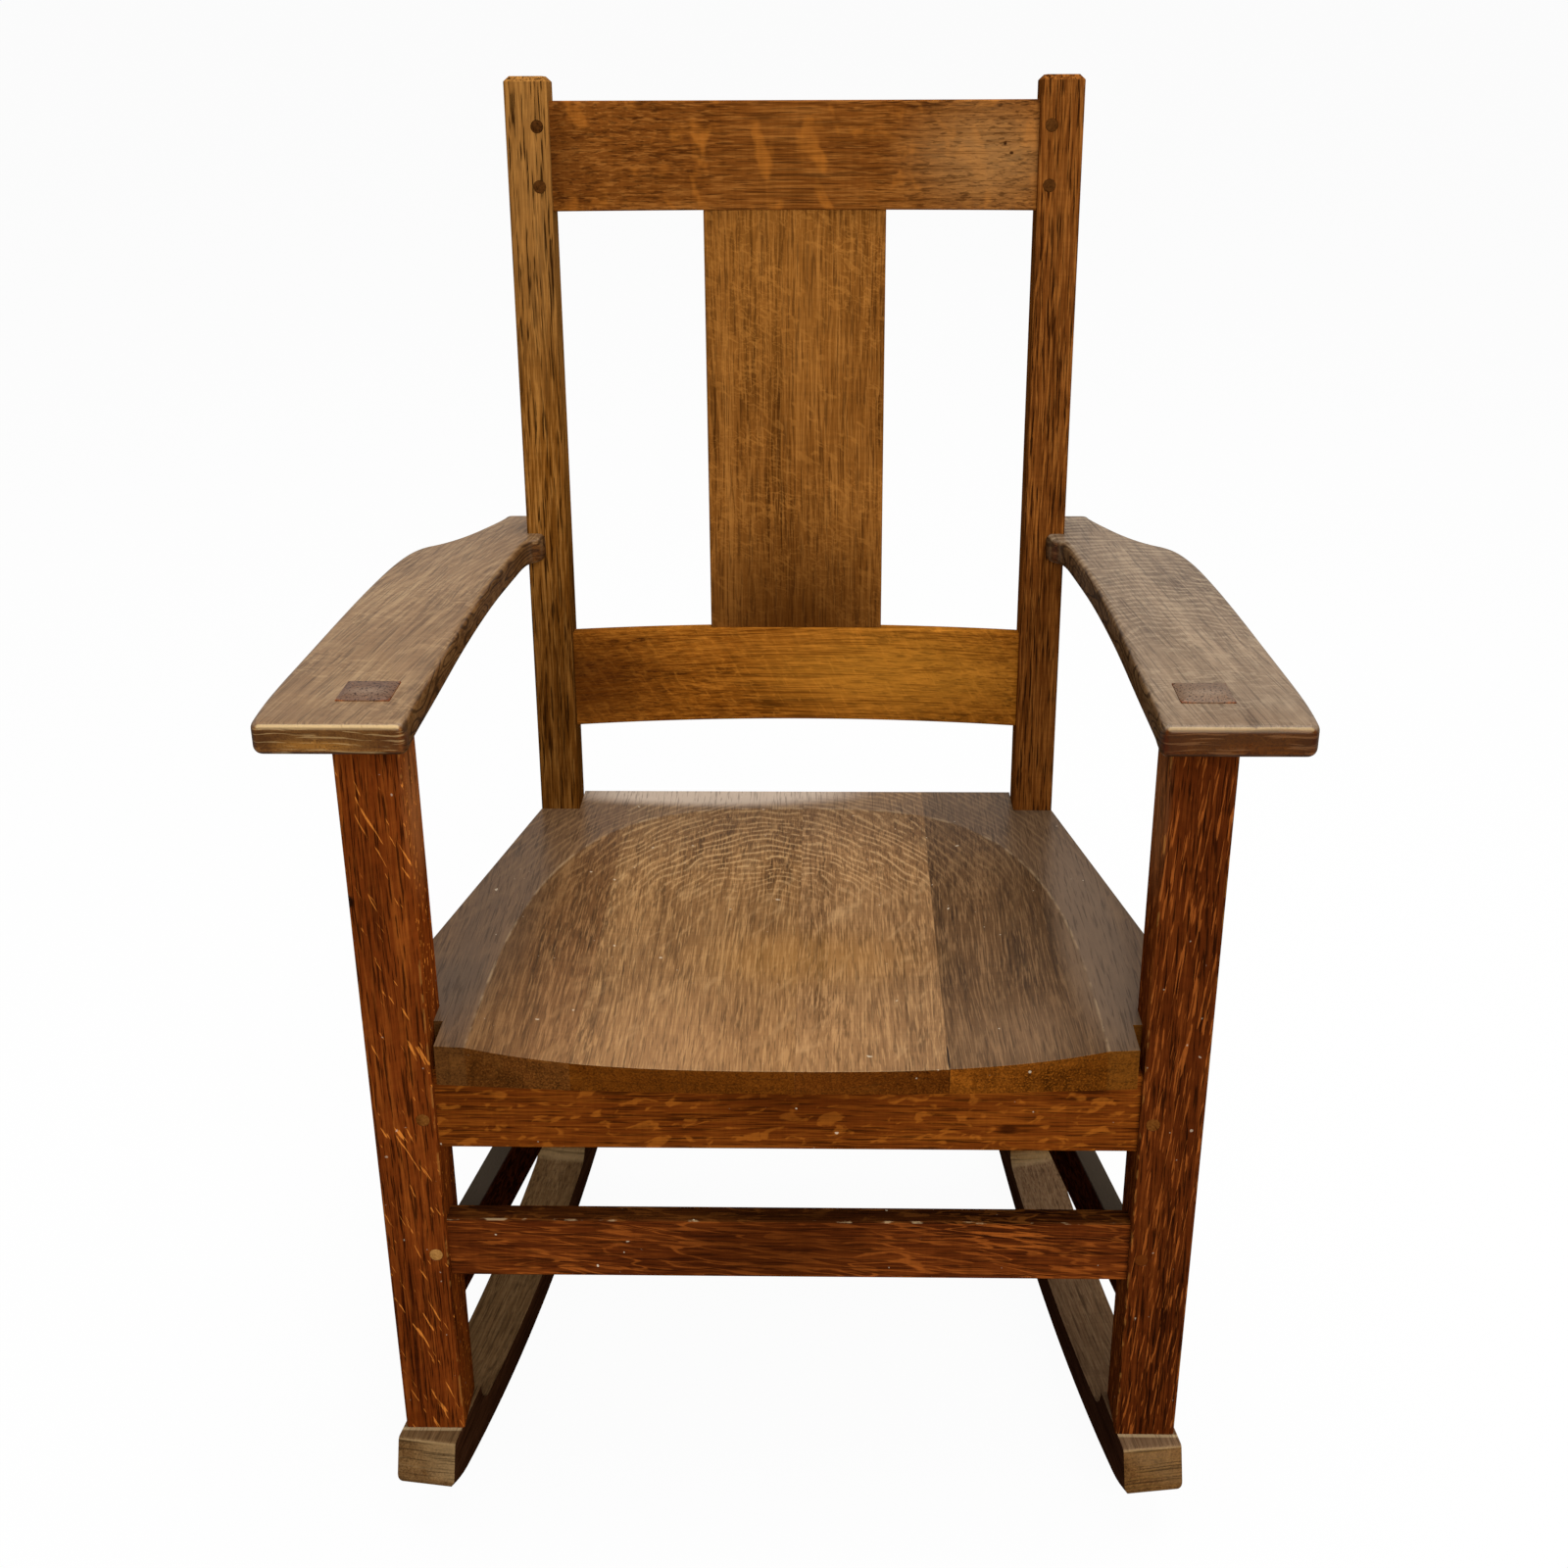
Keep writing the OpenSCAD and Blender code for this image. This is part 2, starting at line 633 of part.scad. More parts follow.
// The scoop: a dish with a long, squarish outline, deepest towards the back
scoop_a = front_in - side_rim;
scoop_front = -seat_over - 2 * front_bow;
scoop_b = seat_run + seat_tail - back_rim - scoop_front;
function power_of(v, p) = sign(v) * pow(abs(v), p);
function scoop_point(s, a, z) =
    [s * scoop_a * power_of(cos(a), 2 / scoop_power),
     scoop_front + s * scoop_b * power_of(sin(a), 2 / scoop_power), z];
function scoop_z(s, a) =
    let (q = s * pow(abs(sin(a)), 2 / scoop_power),
        deep = front_dip + (scoop_depth - front_dip) * sin(180 * min(q, 0.5)))
    seat_h - deep * (1 - pow(s, scoop_power));
module scoop() {
    n = scoop_points;
    rings = scoop_rings;
    pts = concat(
        [[0, scoop_front, scoop_z(0, 0)]],
        [for (k = [1:rings], i = [0:n - 1])
            let (s = k / rings, a = round_turn * i / n) scoop_point(s, a, scoop_z(s, a))],
        [for (i = [0:n - 1]) scoop_point(1, round_turn * i / n, seat_h + over)]);
    faces = concat(
        [for (i = [0:n - 1]) [0, 1 + i, 1 + (i + 1) % n]],
        [for (k = [0:rings - 1], i = [0:n - 1])
            let (j = (i + 1) % n)
            [1 + k * n + i, 1 + (k + 1) * n + i, 1 + (k + 1) * n + j, 1 + k * n + j]],
        [[for (i = [n - 1:-1:0]) 1 + rings * n + i]]);
    polyhedron(pts, faces);
}
module seat_board(i) {
    x0 = seat_joint_shares[i] * front_w;
    x1 = seat_joint_shares[i + 1] * front_w;
    at_rest() difference() {
        intersection() {
            translate([0, 0, seat_low]) linear_extrude(seat_t) polygon(seat_outline);
            translate([x0, -front_half, 0]) cube([x1 - x0, 2 * front_w, 2 * seat_h]);
        }
        scoop();
        for (side = [0, 1]) mirror([side, 0, 0]) {
            leaning() translate([rear_in - joint_fit, -joint_fit, -seat_h])
                cube([rear_post_w + 2 * joint_fit, seat_run, 2 * seat_h]);
            seat_screw_places() screw_hole(block_t + seat_bite);
        }
    }
}
module seat_board_1() color([0.36, 0.26, 0.17]) seat_board(0);
module seat_board_2() color([0.44, 0.29, 0.16]) seat_board(1);
module seat_board_3() color([0.46, 0.32, 0.19]) seat_board(2);
module seat_board_4() color([0.34, 0.25, 0.18]) seat_board(3);

// Corner blocks inside the seat frame, glued to the rails and screwed up into the seat
block_z = seat_low - block_t;
block_w = 0.6 * post_sq;
function on_side(y) = [side_x(y), y];
front_block = let (y = rail_set + rail_t, b = 1.6 * post_sq) [
    [front_in - 1.4 * post_sq, y], [front_in - 0.5 * post_sq, y],
    on_side(b), on_side(b + 1.4 * block_w)];
rear_block = let (y = face_y(seat_low) + rear_set, b = y - 0.9 * post_sq) [
    on_side(b - 1.4 * block_w), on_side(b),
    [rear_in - 0.5 * post_sq, y + rail_t / 2], [rear_in - 1.3 * post_sq, y + rail_t / 2]];
function middle(pts) = (pts[0] + pts[1] + pts[2] + pts[3]) / 4;
module seat_screw_places() {
    for (m = [middle(front_block), middle(rear_block)]) translate([m.x, m.y, block_z]) children();
}
module block(pts) {
    translate([0, 0, block_z]) linear_extrude(block_t) polygon(pts);
}
module front_corner_blocks() {
    color([0.55, 0.38, 0.2]) at_rest() for (side = [0, 1]) mirror([side, 0, 0]) difference() {
        block(front_block);
        seat_screw_places() screw_hole(block_t + seat_bite);
    }
}
module rear_corner_blocks() {
    color([0.55, 0.38, 0.2]) at_rest() for (side = [0, 1]) mirror([side, 0, 0]) difference() {
        block(rear_block);
        behind_face(rear_set);
        seat_screw_places() screw_hole(block_t + seat_bite);
    }
}
module seat_screws() {
    color([0.5, 0.48, 0.44]) at_rest() for (side = [0, 1]) mirror([side, 0, 0])
        seat_screw_places() screw(block_t + seat_bite);
}

// Arms: shaped boards over the front posts, notched round the rear posts
arm_start = -arm_over;
arm_end = face_y(arm_under) + arm_tail;
// Outline of the right arm, anticlockwise from its front inner corner: the first share is of
// the arm's length, the second of arm_w outwards from the line that joins the posts
arm_shares = [
    [0, -0.44], [0, -0.295], [0, 0.4], [0, 0.562], [0.042, 0.604], [0.115, 0.655],
    [0.275, 0.72], [0.455, 0.796], [0.592, 0.842], [0.72, 0.862], [0.793, 0.81],
    [0.822, 0.646], [0.872, 0.51], [0.944, 0.4], [0.977, 0.36], [1, 0.353],
    [1, 0.21], [1, 0.03], [0.903, -0.115], [0.869, -0.168], [0.849, -0.15],
    [0.832, -0.06], [0.737, -0.075], [0.606, -0.1], [0.405, -0.19],
    [0.198, -0.318], [0.053, -0.4], [0.028, -0.424]];
function arm_line(y) =
    front_mid.x + (rear_half - front_mid.x) * (y - front_mid.y) / (face_y(arm_under) - front_mid.y);
function arm_point(s) =
    let (y = arm_start + s.x * (arm_end - arm_start)) [arm_line(y) + s.y * arm_w, y];
arm_outline = smooth([for (s = arm_shares) arm_point(s)], 2);
arm_steps = 2;

module arm_board() {
    low = [for (i = [0:arm_steps]) let (a = 90 * i / arm_steps)
        [arm_round * (1 - sin(a)), arm_round * (1 - cos(a))]];
    high = [for (i = [arm_steps:-1:0]) [low[i].x, arm_t - low[i].y]];
    levels = concat(low, high);
    polyhedron(
        [for (l = levels, p = drawn_in(arm_outline, l.x)) [p.x, p.y, arm_under + l.y]],
        ring_faces(len(arm_outline), len(levels)));
}
arm_hole = tenon_sq + 2 * joint_fit;
// The screw that holds each arm to its rear post lies in a counterbore in the arm's outer edge
arm_screw_y = face_y(arm_under) + rear_post_d / 2;
arm_screw_x = arm_line(arm_screw_y) + 0.4 * arm_w;
arm_screw_len = arm_screw_x - rear_half + post_bite;
module arm_screw_place() {
    translate([arm_screw_x, arm_screw_y, arm_under + arm_t / 2]) rotate([0, -90, 0]) children();
}
module arm() {
    color([0.42, 0.27, 0.14]) at_rest() difference() {
        arm_board();
        translate([front_mid.x - arm_hole / 2, front_mid.y - arm_hole / 2, arm_under - over])
            cube([arm_hole, arm_hole, 2 * over]);
        leaning() translate([0, -joint_fit, 0])
            cube([rear_half + joint_fit, seat_run, 2 * back_rise]);
        arm_screw_place() screw_hole(arm_screw_len);
    }
}
module arm_screws() {
    color([0.5, 0.48, 0.44]) at_rest() for (side = [0, 1]) mirror([side, 0, 0])
        arm_screw_place() screw(arm_screw_len);
}

mirrored() rocker();  // rocker_left
rocker();  // rocker_right
rocker_dowels();
mirrored() front_post();  // front_post_left
front_post();  // front_post_right
mirrored() rear_post();  // rear_post_left
rear_post();  // rear_post_right
front_seat_rail();
rear_seat_rail();
mirrored() side_seat_rail();  // side_seat_rail_left
side_seat_rail();  // side_seat_rail_right
front_stretcher();
rear_stretcher();
mirrored() side_stretcher();  // side_stretcher_left
side_stretcher();  // side_stretcher_right
front_corner_blocks();
rear_corner_blocks();
seat_board_1();
seat_board_2();
seat_board_3();
seat_board_4();
seat_screws();
mirrored() arm();  // arm_left
arm();  // arm_right
arm_screws();
crest_rail();
lower_back_rail();
back_splat();
crest_rail_pegs();
front_rail_pegs();
stretcher_pegs();
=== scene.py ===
import math

import bpy
from mathutils import Matrix, Vector


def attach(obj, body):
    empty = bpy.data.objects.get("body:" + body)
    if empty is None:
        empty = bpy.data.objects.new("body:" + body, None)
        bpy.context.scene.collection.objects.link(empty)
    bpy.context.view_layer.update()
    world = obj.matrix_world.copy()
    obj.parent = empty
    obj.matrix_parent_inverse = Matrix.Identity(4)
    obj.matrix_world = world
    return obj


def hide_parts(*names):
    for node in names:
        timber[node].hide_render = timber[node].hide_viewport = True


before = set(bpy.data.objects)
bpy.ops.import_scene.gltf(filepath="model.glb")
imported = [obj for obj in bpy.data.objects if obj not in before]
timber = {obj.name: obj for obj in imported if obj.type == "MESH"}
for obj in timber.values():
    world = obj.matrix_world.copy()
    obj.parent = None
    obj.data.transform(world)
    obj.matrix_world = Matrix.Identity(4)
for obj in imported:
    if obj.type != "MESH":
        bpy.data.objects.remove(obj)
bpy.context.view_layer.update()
bpy.ops.object.select_all(action="DESELECT")

# ---------------------------------------------------------------- Rockers
# Two rockers sawn to a long arc out of 43.5 mm quartersawn oak, with a pad left standing under
# each post. The stain is worn to a grey olive on top. The inner faces are painted almost black as
# shade, and the outer faces and the noses are painted darker.

# The chair's lean back at rest, and how much more its back leans, in degrees
LEAN, BACK_LEAN = 6.5, 3.2
# Where a piece's own directions lie: its lean in degrees, and then the place of its frame's
# middle, in metres
POSTS = (LEAN, (0.0, 0.276282, -0.043387))
BACK = (LEAN + BACK_LEAN, (0.0, -0.076388, -0.38425))
# Which way a face or an edge looks
UP, FRONT, REAR = (0.0, 0.0, 1.0), (0.0, -1.0, 0.0), (0.0, 1.0, 0.0)
UPPER_ARRIS = (0.0, -0.7, 0.7)


def stain(red, green, blue):
    """A colour as it is read off a swatch, 0 to 255, turned into the renderer's own scale."""
    channels = [c / 255 for c in (red, green, blue)]
    return tuple(c / 12.92 if c <= 0.04045 else ((c + 0.055) / 1.055) ** 2.4
                 for c in channels) + (1.0,)


class Number:
    """A number that changes over the wood. It is worked with + - * / as plain numbers are."""

    def __init__(self, wood, socket):
        self.wood = wood
        self.socket = socket

    def __add__(self, other):
        return self.wood.work("ADD", self, other)

    def __sub__(self, other):
        return self.wood.work("SUBTRACT", self, other)

    def __rsub__(self, other):
        return self.wood.work("SUBTRACT", other, self)

    def __mul__(self, other):
        return self.wood.work("MULTIPLY", self, other)

    def __truediv__(self, other):
        return self.wood.work("DIVIDE", self, other)

    __radd__ = __add__
    __rmul__ = __mul__


class Wood:
    """One finish, painted in the directions of the piece that it covers."""

    def __init__(self, name, lies_in, toe, grain, seed, wander):
        self.material = bpy.data.materials.new(name)
        self.material.use_nodes = True
        self.tree = self.material.node_tree
        self.tree.nodes.clear()
        self.seed = seed
        lean, middle = lies_in
        where = self.add("ShaderNodeTexCoord", output="Object")
        self.level = self.add("ShaderNodeMapping", {"vector_type": "POINT"}, {
            "Vector": where, "Location": middle, "Rotation": (math.radians(lean), 0.0, 0.0)})
        turned = self.add("ShaderNodeMapping", {"vector_type": "POINT"}, {
            "Vector": self.level, "Rotation": (0.0, 0.0, -toe)})
        x, y, z = (self.add("ShaderNodeSeparateXYZ", {}, {0: turned}, axis) for axis in range(3))
        self.x, self.y = x, y
        across, inward, along = {"x": (z, y, x), "y": (x, z, y), "z": (x, y, z)}[grain]
        self.place = self.add("ShaderNodeCombineXYZ", {}, {0: across, 1: inward, 2: along})
        drift = (self.figure((70, 70, 260), detail=1.0) - 0.5) * (wander / 1000)
        self.across, self.inward, self.along = across + drift, inward + drift, along
        self.place = self.straight = self.add(
            "ShaderNodeCombineXYZ", {}, {0: self.across, 1: self.inward, 2: self.along})

    def add(self, kind, settings=None, sockets=None, output=0):
        """Adds a node with its settings, and links or sets its sockets."""
        node = self.tree.nodes.new(kind)
        for key, value in (settings or {}).items():
            setattr(node, key, value)
        for key, value in (sockets or {}).items():
            if isinstance(value, Number):
                self.tree.links.new(value.socket, node.inputs[key])
            else:
                node.inputs[key].default_value = value
        return Number(self, node.outputs[output]) if node.outputs else None

    def work(self, operation, first, second):
        return self.add("ShaderNodeMath", {"operation": operation}, {0: first, 1: second})

    def figure(self, size, slope=0.0, detail=2.0, rough=0.5, bend=0.0):
        """Noise in patches of this size in mm, across, into and along the grain."""
        self.seed += 1
        spread = (self.seed * 0.37, self.seed * 0.53, self.seed * 0.71)
        laid = self.add("ShaderNodeMapping", {"vector_type": "TEXTURE"}, {
            "Vector": self.place, "Location": spread, "Rotation": (0.0, math.radians(slope), 0.0),
            "Scale": tuple(s / 1000 for s in size)})
        return self.add("ShaderNodeTexNoise", {}, {
            "Vector": laid, "Scale": 1.0, "Detail": detail, "Roughness": rough, "Distortion": bend})

    def fade(self, value, low, high):
        """0 below low, 1 above high and a soft step between them."""
        return self.add("ShaderNodeMapRange", {"interpolation_type": "SMOOTHSTEP"}, {
            "Value": value, "From Min": low, "From Max": high})

    def blend(self, share, first, second, way="MIX"):
        return self.add("ShaderNodeMix", {"data_type": "RGBA", "blend_type": way}, {
            0: share, 6: first, 7: second}, 2)

    def bow(self, across, along):
        """Bends what is drawn next round a middle that lies at this place, in mm."""
        narrow, reel = 1.5, 0.2
        side = (self.across - across / 1000) * narrow
        run = self.along - along / 1000
        self.away = self.work("POWER", side * side + run * run, 0.5)
        turn = self.work("ARCTAN2", side, run) * reel
        self.place = self.add("ShaderNodeCombineXYZ", {}, {0: turn, 1: self.inward, 2: self.away})

    def hollow(self, wide, front, run, power):
        """How far a place lies from the middle of a scoop, with 1 at the scoop's rim."""
        side = self.work("ABSOLUTE", self.x, 0.0) / (wide / 1000)
        back = (self.y - front / 1000) / (run / 1000)
        both = self.work("POWER", side, power) + self.work("POWER", back, power)
        return self.work("POWER", both, 1 / power)

    def faces(self, direction, low=0.45, high=0.8):
        """1 on the faces that look this way and 0 on those that look elsewhere."""
        normal = self.add("ShaderNodeNewGeometry", output="Normal")
        along = self.add(
            "ShaderNodeVectorMath", {"operation": "DOT_PRODUCT"}, {0: normal, 1: direction}, "Value")
        return self.fade(along, low, high)

    def spot(self, middle, reach, soft=0.6):
        """1 in the middle of a patch and 0 beyond its reach, both in mm in the piece's frame."""
        laid = self.add("ShaderNodeMapping", {"vector_type": "TEXTURE"}, {
            "Vector": self.level, "Location": tuple(m / 1000 for m in middle),
            "Scale": tuple(r / 1000 for r in reach)})
        away = self.add("ShaderNodeVectorMath", {"operation": "LENGTH"}, {0: laid}, "Value")
        return self.fade(away, 1.0, 1.0 - soft)

    def veined(self, colour, size, slope, amount, rays):
        """Draws thin winding rays."""
        winding = self.figure(size, slope, detail=1.0, bend=0.6)
        thin = self.fade(self.work("ABSOLUTE", winding - 0.5, 0.0), 0.05, 0.015)
        return self.blend(thin * self.fade(self.figure((60, 30, 60)), 0.35, 0.6) * amount, colour, rays)

    def arched(self, colour, arch, rays, deep):
        """Draws broken pale rays in arches, with a faint dark line between each and the next."""
        middle_x, middle_y, pitch, start, amount = arch
        full_turn, soft_start = 6283.2, 0.12
        self.bow(middle_x, middle_y)
        wobble = self.figure((60, 20, 40), detail=1.0) * 0.03
        crest = self.work("SINE", (self.away + wobble) * (full_turn / pitch), 0.0)
        broken = self.fade(self.figure((16, 20, 5), detail=1.0), 0.38, 0.5)
        self.place = self.straight
        back = self.fade(self.along, start / 1000, start / 1000 + soft_start)
        colour = self.blend(self.fade(crest, 0.3, 0.95) * broken * back * amount, colour, rays)
        return self.blend(self.fade(crest, -0.6, -1.0) * back * 0.3, colour, deep)

    def scooped(self, colour, scoop, deep):
        """Paints shade towards the inside of a scoop's rim, a grey sheen on the flat rim past it and a
        broken highlight along the crease.
        """
        reach = self.hollow(*scoop)
        colour = self.blend(self.fade(reach, 0.75, 0.99) * 0.3, colour, deep)
        colour = self.blend(self.fade(reach, 0.994, 1.004) * 0.3, colour, stain(122, 100, 80))
        line = self.fade(self.work("ABSOLUTE", reach - 1.0, 0.0), 0.007, 0.001)
        crease_highlight = line * self.fade(self.figure((12, 12, 20), detail=3.0), 0.42, 0.6)
        return self.blend(crease_highlight * self.faces(UP) * 0.35, colour, stain(190, 160, 120))

    def contoured(self, colour, contours):
        """Draws dark lines like a map's contours on the faces that look one way."""
        direction, size, paint, amount = contours
        closeness = 70.0
        level = self.work("SINE", self.figure(size, detail=1.0) * closeness, 0.0)
        share = self.fade(level, 0.4, 0.95) * self.faces(direction) * amount
        return self.blend(share, colour, stain(*paint))


def oak(name, seed, grain, colours, lies_in=POSTS, toe=0.0, wander=8.0, line_size=(1.8, 1.8, 70),
        lines=0.5, fine=(1.5, 1.5, 40), ray=(6, 8, 26), ray_slope=25.0, ray_share=0.5, ray_soft=0.05,
        ray_amount=0.8, vein=(3, 8, 30), vein_slope=0.0, veins=0.0, arch=None, streaks=0.5,
        ripple=(30, 20, 3), ripple_slope=0.0, ripple_amount=0.15, pores=0.6, specks=0.0, polish=0.0,
        gloss=0.0, whole=0.0, faces=(), glints=(), spots=(), scores=(), contours=None, scoop=None):
    """Quartersawn oak: rings and pores along the grain, rays and ripples across it.

    The colours are those of the deep, plain and pale wood, the rays and the pores. Sizes are in mm
    across, into and along the grain, and slopes in degrees. Four others hold any number of rows:
    faces   which way they look, a tint of painted light or shade, and how it is mixed in
    glints  which way an edge looks, the colour of a painted highlight or shade on it, and how strong it
    is
    spots   the middle and reach of a place in mm, its colour, how strong it is and how soft
    scores  which way a face looks, the size of the lines on it, their colour and how strong they are
    And three are a single row, or None where a piece hasn't got them:
    arch      the middle of arched rays, their pitch and start in mm, and how strong they are
    contours  as in scores, for lines like a map's contours
    scoop     half a scoop's width, where it starts and its run in mm, and how square it is
    """
    deep, body, pale, rays, pore = [stain(*c) for c in colours]
    wood = Wood(name, lies_in, toe, grain, seed, wander)
    ring = wood.figure((6, 12, 380), detail=3.0, rough=0.6)
    line = wood.figure(line_size, detail=3.0, rough=0.65)
    tone = wood.figure((55, 40, 170), detail=2.0)
    mixed = ring * 0.4 + line * lines + tone * 0.4 + (0.1 - 0.5 * lines)
    darkest, middle_tone, palest = 0.32, 0.5, 0.7
    colour = wood.blend(wood.fade(mixed, darkest, middle_tone), deep, body)
    colour = wood.blend(wood.fade(mixed, middle_tone, palest), colour, pale)
    streak = wood.fade(wood.figure(fine, detail=2.0, rough=0.6), 0.52, 0.62)
    colour = wood.blend(streak * streaks, colour, pale)
    flake = wood.figure(ray, ray_slope, detail=2.0, bend=0.5)
    fleck = wood.fade(flake, 1.0 - ray_share, 1.0 - ray_share + ray_soft)
    colour = wood.blend(fleck * (ray_amount * 0.6 + 0.4 * ray_amount * ring), colour, rays)
    if veins:
        colour = wood.veined(colour, vein, vein_slope, veins, rays)
    if arch:
        colour = wood.arched(colour, arch, rays, deep)
    wave = wood.figure(ripple, ripple_slope, detail=1.0, bend=0.4)
    pit = wood.fade(wood.figure(fine, detail=2.0, rough=0.6), 0.53, 0.63)
    light = 1.0 + (wave - 0.5) * (2.0 * ripple_amount)
    grey = wood.add("ShaderNodeCombineXYZ", {}, {0: light, 1: light, 2: light})
    colour = wood.blend(1.0, colour, grey, "MULTIPLY")
    for middle, reach, paint, amount, soft in spots:
        colour = wood.blend(wood.spot(middle, reach, soft) * amount, colour, stain(*paint))
    # Painted shade inside the scoop's rim, a painted sheen past it and a painted highlight on its crease
    if scoop:
        colour = wood.scooped(colour, scoop, deep)
    colour = wood.blend(pit * (1.0 - 0.6 * fleck) * pores, colour, pore)
    for direction, tint, way in faces:
        colour = wood.blend(wood.faces(direction), colour, tint + (1.0,), way)
    # Glints are painted highlights along edges, and painted shade where they are dark, broken in patches
    # as wear would break them
    glint_gaps_from = 0.52 - 0.4 * whole
    worn = wood.fade(wood.figure((8, 8, 14), detail=3.0), glint_gaps_from, glint_gaps_from + 0.1)
    for direction, paint, amount in glints:
        colour = wood.blend(wood.faces(direction, 0.9, 0.98) * worn * amount, colour, stain(*paint))
    if specks:
        dots = wood.fade(wood.figure((4, 4, 4), detail=0.0), 0.86, 0.9)
        colour = wood.blend(dots * specks, colour, stain(232, 214, 184))
    for direction, size, paint, amount in scores:
        score = wood.fade(wood.figure(size), 0.55, 0.64)
        colour = wood.blend(score * wood.faces(direction) * amount, colour, stain(*paint))
    if contours:
        colour = wood.contoured(colour, contours)
    height = (1.0 - pit) * 0.5 + ring * 0.2 + tone * 1.2
    bump = wood.add("ShaderNodeBump", {}, {"Strength": 0.35, "Distance": 0.0006, "Height": height})
    sheen = 0.5 + 0.12 * pit - 0.1 * fleck + 0.2 * (tone - 0.5)
    upward, forward = wood.faces(UP), wood.faces(FRONT, -0.1, 0.3)
    shader = wood.add("ShaderNodeBsdfPrincipled", {}, {
        "Base Color": colour, "Roughness": sheen, "Normal": bump, "Specular IOR Level": 0.0,
        "Coat Weight": upward * polish + forward * gloss, "Coat Roughness": 0.3})
    wood.add("ShaderNodeOutputMaterial", {}, {0: shader})
    return wood.material


def finish(piece, material):
    """Gives a piece its one material."""
    piece.data.materials.clear()
    piece.data.materials.append(material)


def ease(piece, width):
    """Takes the sharpness off a solid's edges, as sanding and long use do."""
    piece.data.polygons.foreach_set("use_smooth", [True] * len(piece.data.polygons))
    weld = piece.modifiers.new("joined triangles", "WELD")
    weld.merge_threshold = 0.00001
    flat = piece.modifiers.new("plain faces", "DECIMATE")
    flat.decimate_type = "DISSOLVE"
    flat.angle_limit = math.radians(0.1)
    worn = piece.modifiers.new("eased edges", "BEVEL")
    worn.width = width / 1000
    worn.segments = 3
    worn.limit_method = "ANGLE"
    worn.angle_limit = math.radians(25)
    worn.harden_normals = True


# How far the rockers turn in towards their rear ends
ROCKER_TOE = math.atan(0.13875)
rocker_colours = {
    "left": [(74, 52, 30), (106, 78, 49), (134, 104, 70), (140, 108, 72), (54, 38, 23)],
    "right": [(80, 58, 39), (113, 85, 60), (142, 112, 82), (148, 118, 86), (60, 44, 30)]}
rocker_nose_shade = {"left": (0.95, 0.86, 0.7), "right": (0.84, 0.66, 0.38)}
rocker_scratches = {"left": (136, 108, 72), "right": (132, 96, 48)}
for side, hand in (("left", -1), ("right", 1)):
    rocker = timber["rocker_" + side]
    inner, outer = (-hand, 0.0, 0.0), (hand, 0.0, 0.0)
    finish(rocker, oak(
        "rocker oak " + side, 11 + 20 * hand, "y", rocker_colours[side], toe=hand * ROCKER_TOE,
        ray=(9, 9, 60), ray_slope=5, ray_share=0.45, ray_soft=0.2, ray_amount=0.3,
        veins=0.3, vein=(4, 8, 40), pores=0.45, streaks=0.4, whole=0.7,
        # Painted shade on the inner faces, almost black, and on the outer faces and the noses; a painted
        # highlight along the upper arris
        faces=((inner, (0.25, 0.16, 0.15), "MULTIPLY"), (outer, (0.8, 0.74, 0.7), "MULTIPLY"),
               (FRONT, rocker_nose_shade[side], "MULTIPLY")),
        glints=((UPPER_ARRIS, (190, 160, 114), 0.35),),
        scores=((FRONT, (46, 1.3, 30), (44, 30, 16), 0.6),
                (FRONT, (40, 1.0, 30), rocker_scratches[side], 0.35)),
        # A pale line of painted highlight where each pad's top meets its front post's foot
        spots=(((hand * 262, -1.5, 0), (60, 2.4, 3), (214, 186, 140), 0.6, 0.6),)))
    ease(rocker, 1.6)

# ---------------------------------------------------------------- Dowels
# Four turned dowels join the posts' feet to the rockers' pads. They are glued in and unseen.

dowel_colours = [(120, 84, 48), (150, 108, 66), (176, 134, 88), (190, 148, 98), (90, 60, 34)]
dowels = timber["rocker_dowels"]
finish(dowels, oak("dowel oak", 31, "z", dowel_colours, ray_amount=0.2, pores=0.4))
ease(dowels, 0.5)

# ---------------------------------------------------------------- Front posts
# Square posts, 43 mm, whose top tenons come up through the arms and are slightly domed.
# Quartersawn and stained a deep red brown, with slanting orange ray flecks.

